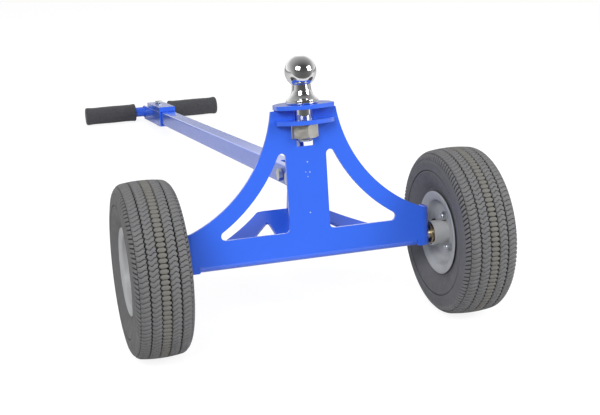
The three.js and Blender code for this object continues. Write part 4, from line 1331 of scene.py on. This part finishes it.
hub_from, hub_to = local_span("right_hub")
SEAT_RADIUS, CORE_RADIUS, POCKET = 17.7, 10.9, 12.8
hub_path = softened([
    (SEAT_RADIUS, hub_from), (HUB_RADIUS, hub_from), (HUB_RADIUS, hub_to), (SEAT_RADIUS, hub_to),
    (SEAT_RADIUS, hub_to - POCKET), (CORE_RADIUS, hub_to - POCKET), (CORE_RADIUS, hub_from + POCKET),
    (SEAT_RADIUS, hub_from + POCKET)], 0.5, 3)
BEARING_RADIUS, RACE = 17.4, 3
valve_foot = local_span("right_valve_stem")[1]
valve_path = softened([
    (6.4, valve_foot), (6.4, valve_foot - 2.4), (4.1, valve_foot - 5), (3.6, valve_foot - 12),
    (4.4, valve_foot - 12.6), (4.4, valve_foot - 19), (3.2, valve_foot - 20.5)], 0.8, 3, looped=False)

for side, place in AT_WHEEL.items():
    body = f"{side}_wheel"
    for half, corners in (("outer", OUTER_HALF_PATH), ("inner", INNER_HALF_PATH)):
        path = softened(corners, 2.6, 5)
        mesh = turned(f"{side}_rim_{half}", path, 120, place @ ACROSS, looped=True, angle=60)
        piece(f"{side}_stamped_rim_{half}", mesh, body, "rim_paint", rim_paint, f"{side}_rim_{half}_half")
    mesh = turned(f"{side}_tube_hub", hub_path, 64, place @ ACROSS, looped=True)
    piece(f"{side}_tube_hub", mesh, body, "rim_paint", rim_paint, f"{side}_hub")
    for end in ("inner", "outer"):
        start, stop = local_span(f"right_{end}_bearing_outer_race")
        path = sleeve(BEARING_RADIUS - RACE, BEARING_RADIUS, start, stop, 0.5)
        mesh = turned(f"{side}_{end}_bearing_shell", path, 48, place @ ACROSS, looped=True)
        outer_race = f"{side}_{end}_bearing_outer_race"
        piece(f"{side}_{end}_bearing_shell", mesh, body, "steel", satin_steel, outer_race)
        inner_race = f"{side}_{end}_bearing_inner_race"
        low, high = spans(inner_race)
        path = sleeve(AXLE_RADIUS + GAP, AXLE_RADIUS + GAP + RACE, low.x, high.x, 0.5)
        mesh = turned(f"{side}_{end}_bearing_core", path, 40, LEAN @ ACROSS, looped=True)
        piece(f"{side}_{end}_bearing_core", mesh, "frame", "steel", satin_steel, inner_race)
    low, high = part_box(f"{side}_valve_stem")
    valve_at = AT_WHEEL[side].inverted() @ ((low + high) / 2)
    valve_place = place @ Matrix.Translation((0, valve_at.y, valve_at.z)) @ ACROSS
    mesh = turned(f"{side}_valve", valve_path, 24, valve_place)
    piece(f"{side}_valve", mesh, body, "valve_rubber", valve_rubber, f"{side}_valve_stem")

# %% [markdown]
# The rim's two discs are clamped by bolts from outboard and nuts inboard. Their places come from
# their CAD nodes, so the number of bolts is never written here.

# %% Rim bolts and nuts
RIM_HEAD = 5
start, stop = local_span("right_rim_bolt_1")
short_bolt = pattern(bolt_mesh("short_bolt", 4, 13, RIM_HEAD, stop - start - RIM_HEAD, 10, 1.25))
start, stop = local_span("right_rim_nut_1")
small_nut = pattern(nut_mesh("small_nut", 4.2, 13, stop - start))
for side, place in AT_WHEEL.items():
    inboard = -1 if side == "right" else 1
    for kind, pattern_object, seed in (("bolt", short_bolt, 11), ("nut", small_nut, 17)):
        nodes = sorted(name for name in frame["nodes"] if name.startswith(f"{side}_rim_{kind}_"))
        points = []
        for node in nodes:
            low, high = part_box(node)
            centre = (low + high) / 2
            outboard = high.x if side == "right" else low.x
            centre.x = outboard + (inboard * RIM_HEAD * MM if kind == "bolt" else 0)
            points.append(centre)
        fasteners(
            f"{side}_rim_{kind}s", f"{side}_wheel", pattern_object, nodes, points, (inboard, 0, 0), seed)

# %% [markdown]
# ## Foam grips
# Each grip is a foam tube stretched over the bar. Foam bulges a little at its cut ends, necks in
# behind them, and is never quite even, so the rings are shifted by a slow noise. The outer end is
# moulded shut.

# %% The grips
bar = middle("t_bar")
GRIP_RADIUS = 23.4
for side, sign in (("left", -1), ("right", 1)):
    low, high = spans(f"{side}_grip")
    inner_end, outer_end = (low.x, high.x) if sign > 0 else (-high.x, -low.x)
    bore = (spans("t_bar")[1].z - spans("t_bar")[0].z) / 2 + GAP
    coarse = [(bore, inner_end + 0.2), (GRIP_RADIUS - 1.5, inner_end), (GRIP_RADIUS, inner_end + 3),
              (GRIP_RADIUS - 1.3, inner_end + 14), (GRIP_RADIUS - 0.9, (inner_end + outer_end) / 2),
              (GRIP_RADIUS - 1.4, outer_end - 18), (GRIP_RADIUS, outer_end - 5),
              (GRIP_RADIUS - 2.2, outer_end - 0.4), (6, outer_end)]
    path = [Vector(p) for p in softened(coarse, 4, 5, looped=False)]
    fine = []
    for p, q in zip(path, path[1:]):
        parts = max(1, round((q - p).length / 2.5))
        fine += [p.lerp(q, k / parts) for k in range(parts)]
    rings = []
    for p in fine + [path[-1]]:
        ring = []
        for j in range(72):
            a = 2 * math.pi * j / 72
            spot = Vector((sign * p.y, p.x * math.cos(a), p.x * math.sin(a)))
            swell = 0.28 * noise.noise(spot * 0.06) + 0.10 * noise.noise(spot * 0.35)
            radius = p.x + (swell if p.x > GRIP_RADIUS - 3 else 0)
            ring.append((sign * p.y, radius * math.cos(a), radius * math.sin(a)))
        rings.append(ring)
    shape = bmesh.new()
    skin(shape, rings)
    mesh = to_mesh(f"{side}_foam_grip", shape, LEAN @ Matrix.Translation((0, bar.y, bar.z)), angle=0)
    grip = piece(f"{side}_foam_grip", mesh, "frame", "foam", foam, f"{side}_grip")

# %% [markdown]
# ## Welds and split pins
# A weld bead is a row of ripples laid along a joint. The tree below turns a path into a curve,
# samples it evenly, lets the radius rise and fall with the sample's index and sweeps a circle
# along it. With no ripple the same tree draws plain wire, which is what a split pin is made of.

# %% A tree for beads and wire
bead_tree, inlet, outlet = new_tree(
    "bead", ("Radius", "Float"), ("Ripple", "Float"), ("Spacing", "Float"), ("Sides", "Int"),
    ("Finish", "Material"))
curve = add(bead_tree, "GeometryNodeMeshToCurve", [(0, inlet.outputs["Geometry"])])
even = add(bead_tree, "GeometryNodeResampleCurve", [
    ("Curve", curve.outputs[0]), ("Length", inlet.outputs["Spacing"])], mode="LENGTH")
index = add(bead_tree, "GeometryNodeInputIndex")
wave = add(bead_tree, "ShaderNodeMath", [(0, index.outputs[0]), (1, 4.0)], operation="PINGPONG")
rise = add(bead_tree, "ShaderNodeMath", [(0, wave.outputs[0]), (1, 0.25)], operation="MULTIPLY")
dip = add(bead_tree, "ShaderNodeMath", [
    (0, rise.outputs[0]), (1, inlet.outputs["Ripple"])], operation="MULTIPLY")
share = add(bead_tree, "ShaderNodeMath", [(0, 1.0), (1, dip.outputs[0])], operation="SUBTRACT")
size = add(bead_tree, "ShaderNodeMath", [
    (0, share.outputs[0]), (1, inlet.outputs["Radius"])], operation="MULTIPLY")
unit = add(bead_tree, "GeometryNodeCurvePrimitiveCircle", [
    ("Resolution", inlet.outputs["Sides"]), ("Radius", 1.0)])
swept = add(bead_tree, "GeometryNodeCurveToMesh", [
    ("Curve", even.outputs[0]), ("Profile Curve", unit.outputs[0]), ("Scale", size.outputs[0]),
    ("Fill Caps", True)])
close_tree(bead_tree, inlet, outlet, swept.outputs[0])


def bead(name, paths, radius, ripple, spacing, finish_used, slot, *stands_for):
    """Beads or wires along paths in the leaning frame, as one mesh on the frame."""
    points, loops = [], []
    for path in paths:
        first = len(points)
        points += [LEAN @ Vector(p) for p in path]
        loops += [(first + k, first + k + 1) for k in range(len(path) - 1)]
    host = points_mesh(points, loops)
    mesh = grown(host, bead_tree, Radius=radius * MM, Ripple=ripple, Spacing=spacing * MM,
                 Sides=8, Finish=finish_used)
    return piece(name, smooth_shaded(mesh, 60), "frame", slot, finish_used, *stands_for)


# %% [markdown]
# Beads run down both sides of the rib, where it meets the lower plate and the face, under the
# upper ball plate, beside the lower one, round the axle where it leaves the body's ends, and
# round the T bar. They ride on the frame and stand for no CAD node, as welds have none.

# %% Weld beads
FACE_BACK = FACE_MIDDLE + PLATE / 2
RIB_HALF = spans("spine_rib")[1].x
BRACKET_HALF = spans("t_bar_bracket")[1].x


def lower_top(b):
    """Height of the lower plate's upper surface at a distance b back."""
    lift = 5.2 / math.cos(BEND_ANGLE - math.pi / 2)
    return BEND_START - lift + (b - FACE_MIDDLE - BEND_RADIUS) * math.tan(BEND_ANGLE - math.pi / 2)


weld_paths = []
for side in (-1, 1):
    x = side * (RIB_HALF + 0.6)
    weld_paths.append([(x, b, lower_top(b) + 0.9) for b in (14, 40, 70, 101)])
    weld_paths.append([(x, FACE_BACK + 0.9, s) for s in (12, 60, 110, 150)])
    weld_paths.append([(side * x_at, FACE_BACK + 0.6, upper_low.z - 0.6) for x_at in (16, 30, 44)])
    weld_paths.append([(side * (SLOT_HALF - 0.2), FACE_BACK + 0.8, s) for s in (lower_low.z, lower_high.z)])
    weld_paths.append([(x, b, upper_low.z - 0.9) for b in (20, 44)])
    ring = arc(0, 0, AXLE_RADIUS + 1.0, 0.6, 2 * math.pi - 0.6, 20)
    weld_paths.append([(side * (END_OUTSIDE - PLATE - 0.7), y, z) for y, z in ring])
    ring = arc(0, 0, bore + 0.6, 0.3, 2 * math.pi + 0.2, 24)
    weld_paths.append([(side * (BRACKET_HALF + 0.6), bar.y + y, bar.z + z) for y, z in ring])
bead("weld_beads", weld_paths, 2.1, 0.3, 0.6, weld_coat, "blue_coat")

# %% [markdown]
# A split pin is one wire: an eye over the axle, two legs down through it and their ends bent
# apart. The bead's tree draws it with no ripple.

# %% Split pins
for side, sign in (("left", -1), ("right", 1)):
    low, high = spans(f"{side}_cotter_pin")
    x = (low.x + high.x) / 2
    eye = arc(0, high.z + 0.2, 2.4, -math.pi / 3, -math.pi / 3 + 2 * math.pi * 5 / 6, 16)
    legs = [(0.8, low.z + 3), *eye, (-0.8, low.z + 3)]
    path = [(x, 4.2, low.z - 0.6), (x, 2.2, low.z + 0.6), *[(x, b, s) for b, s in legs],
            (x, -2.2, low.z + 0.6), (x, -4.2, low.z - 0.6)]
    bead(f"{side}_split_pin", [path], 0.78, 0.0, 0.5, clear_zinc, "zinc", f"{side}_cotter_pin")

# %% The last check: CAD nodes still showing
print("CAD nodes still showing:", [n for n, o in frame["nodes"].items() if not o.hide_render])
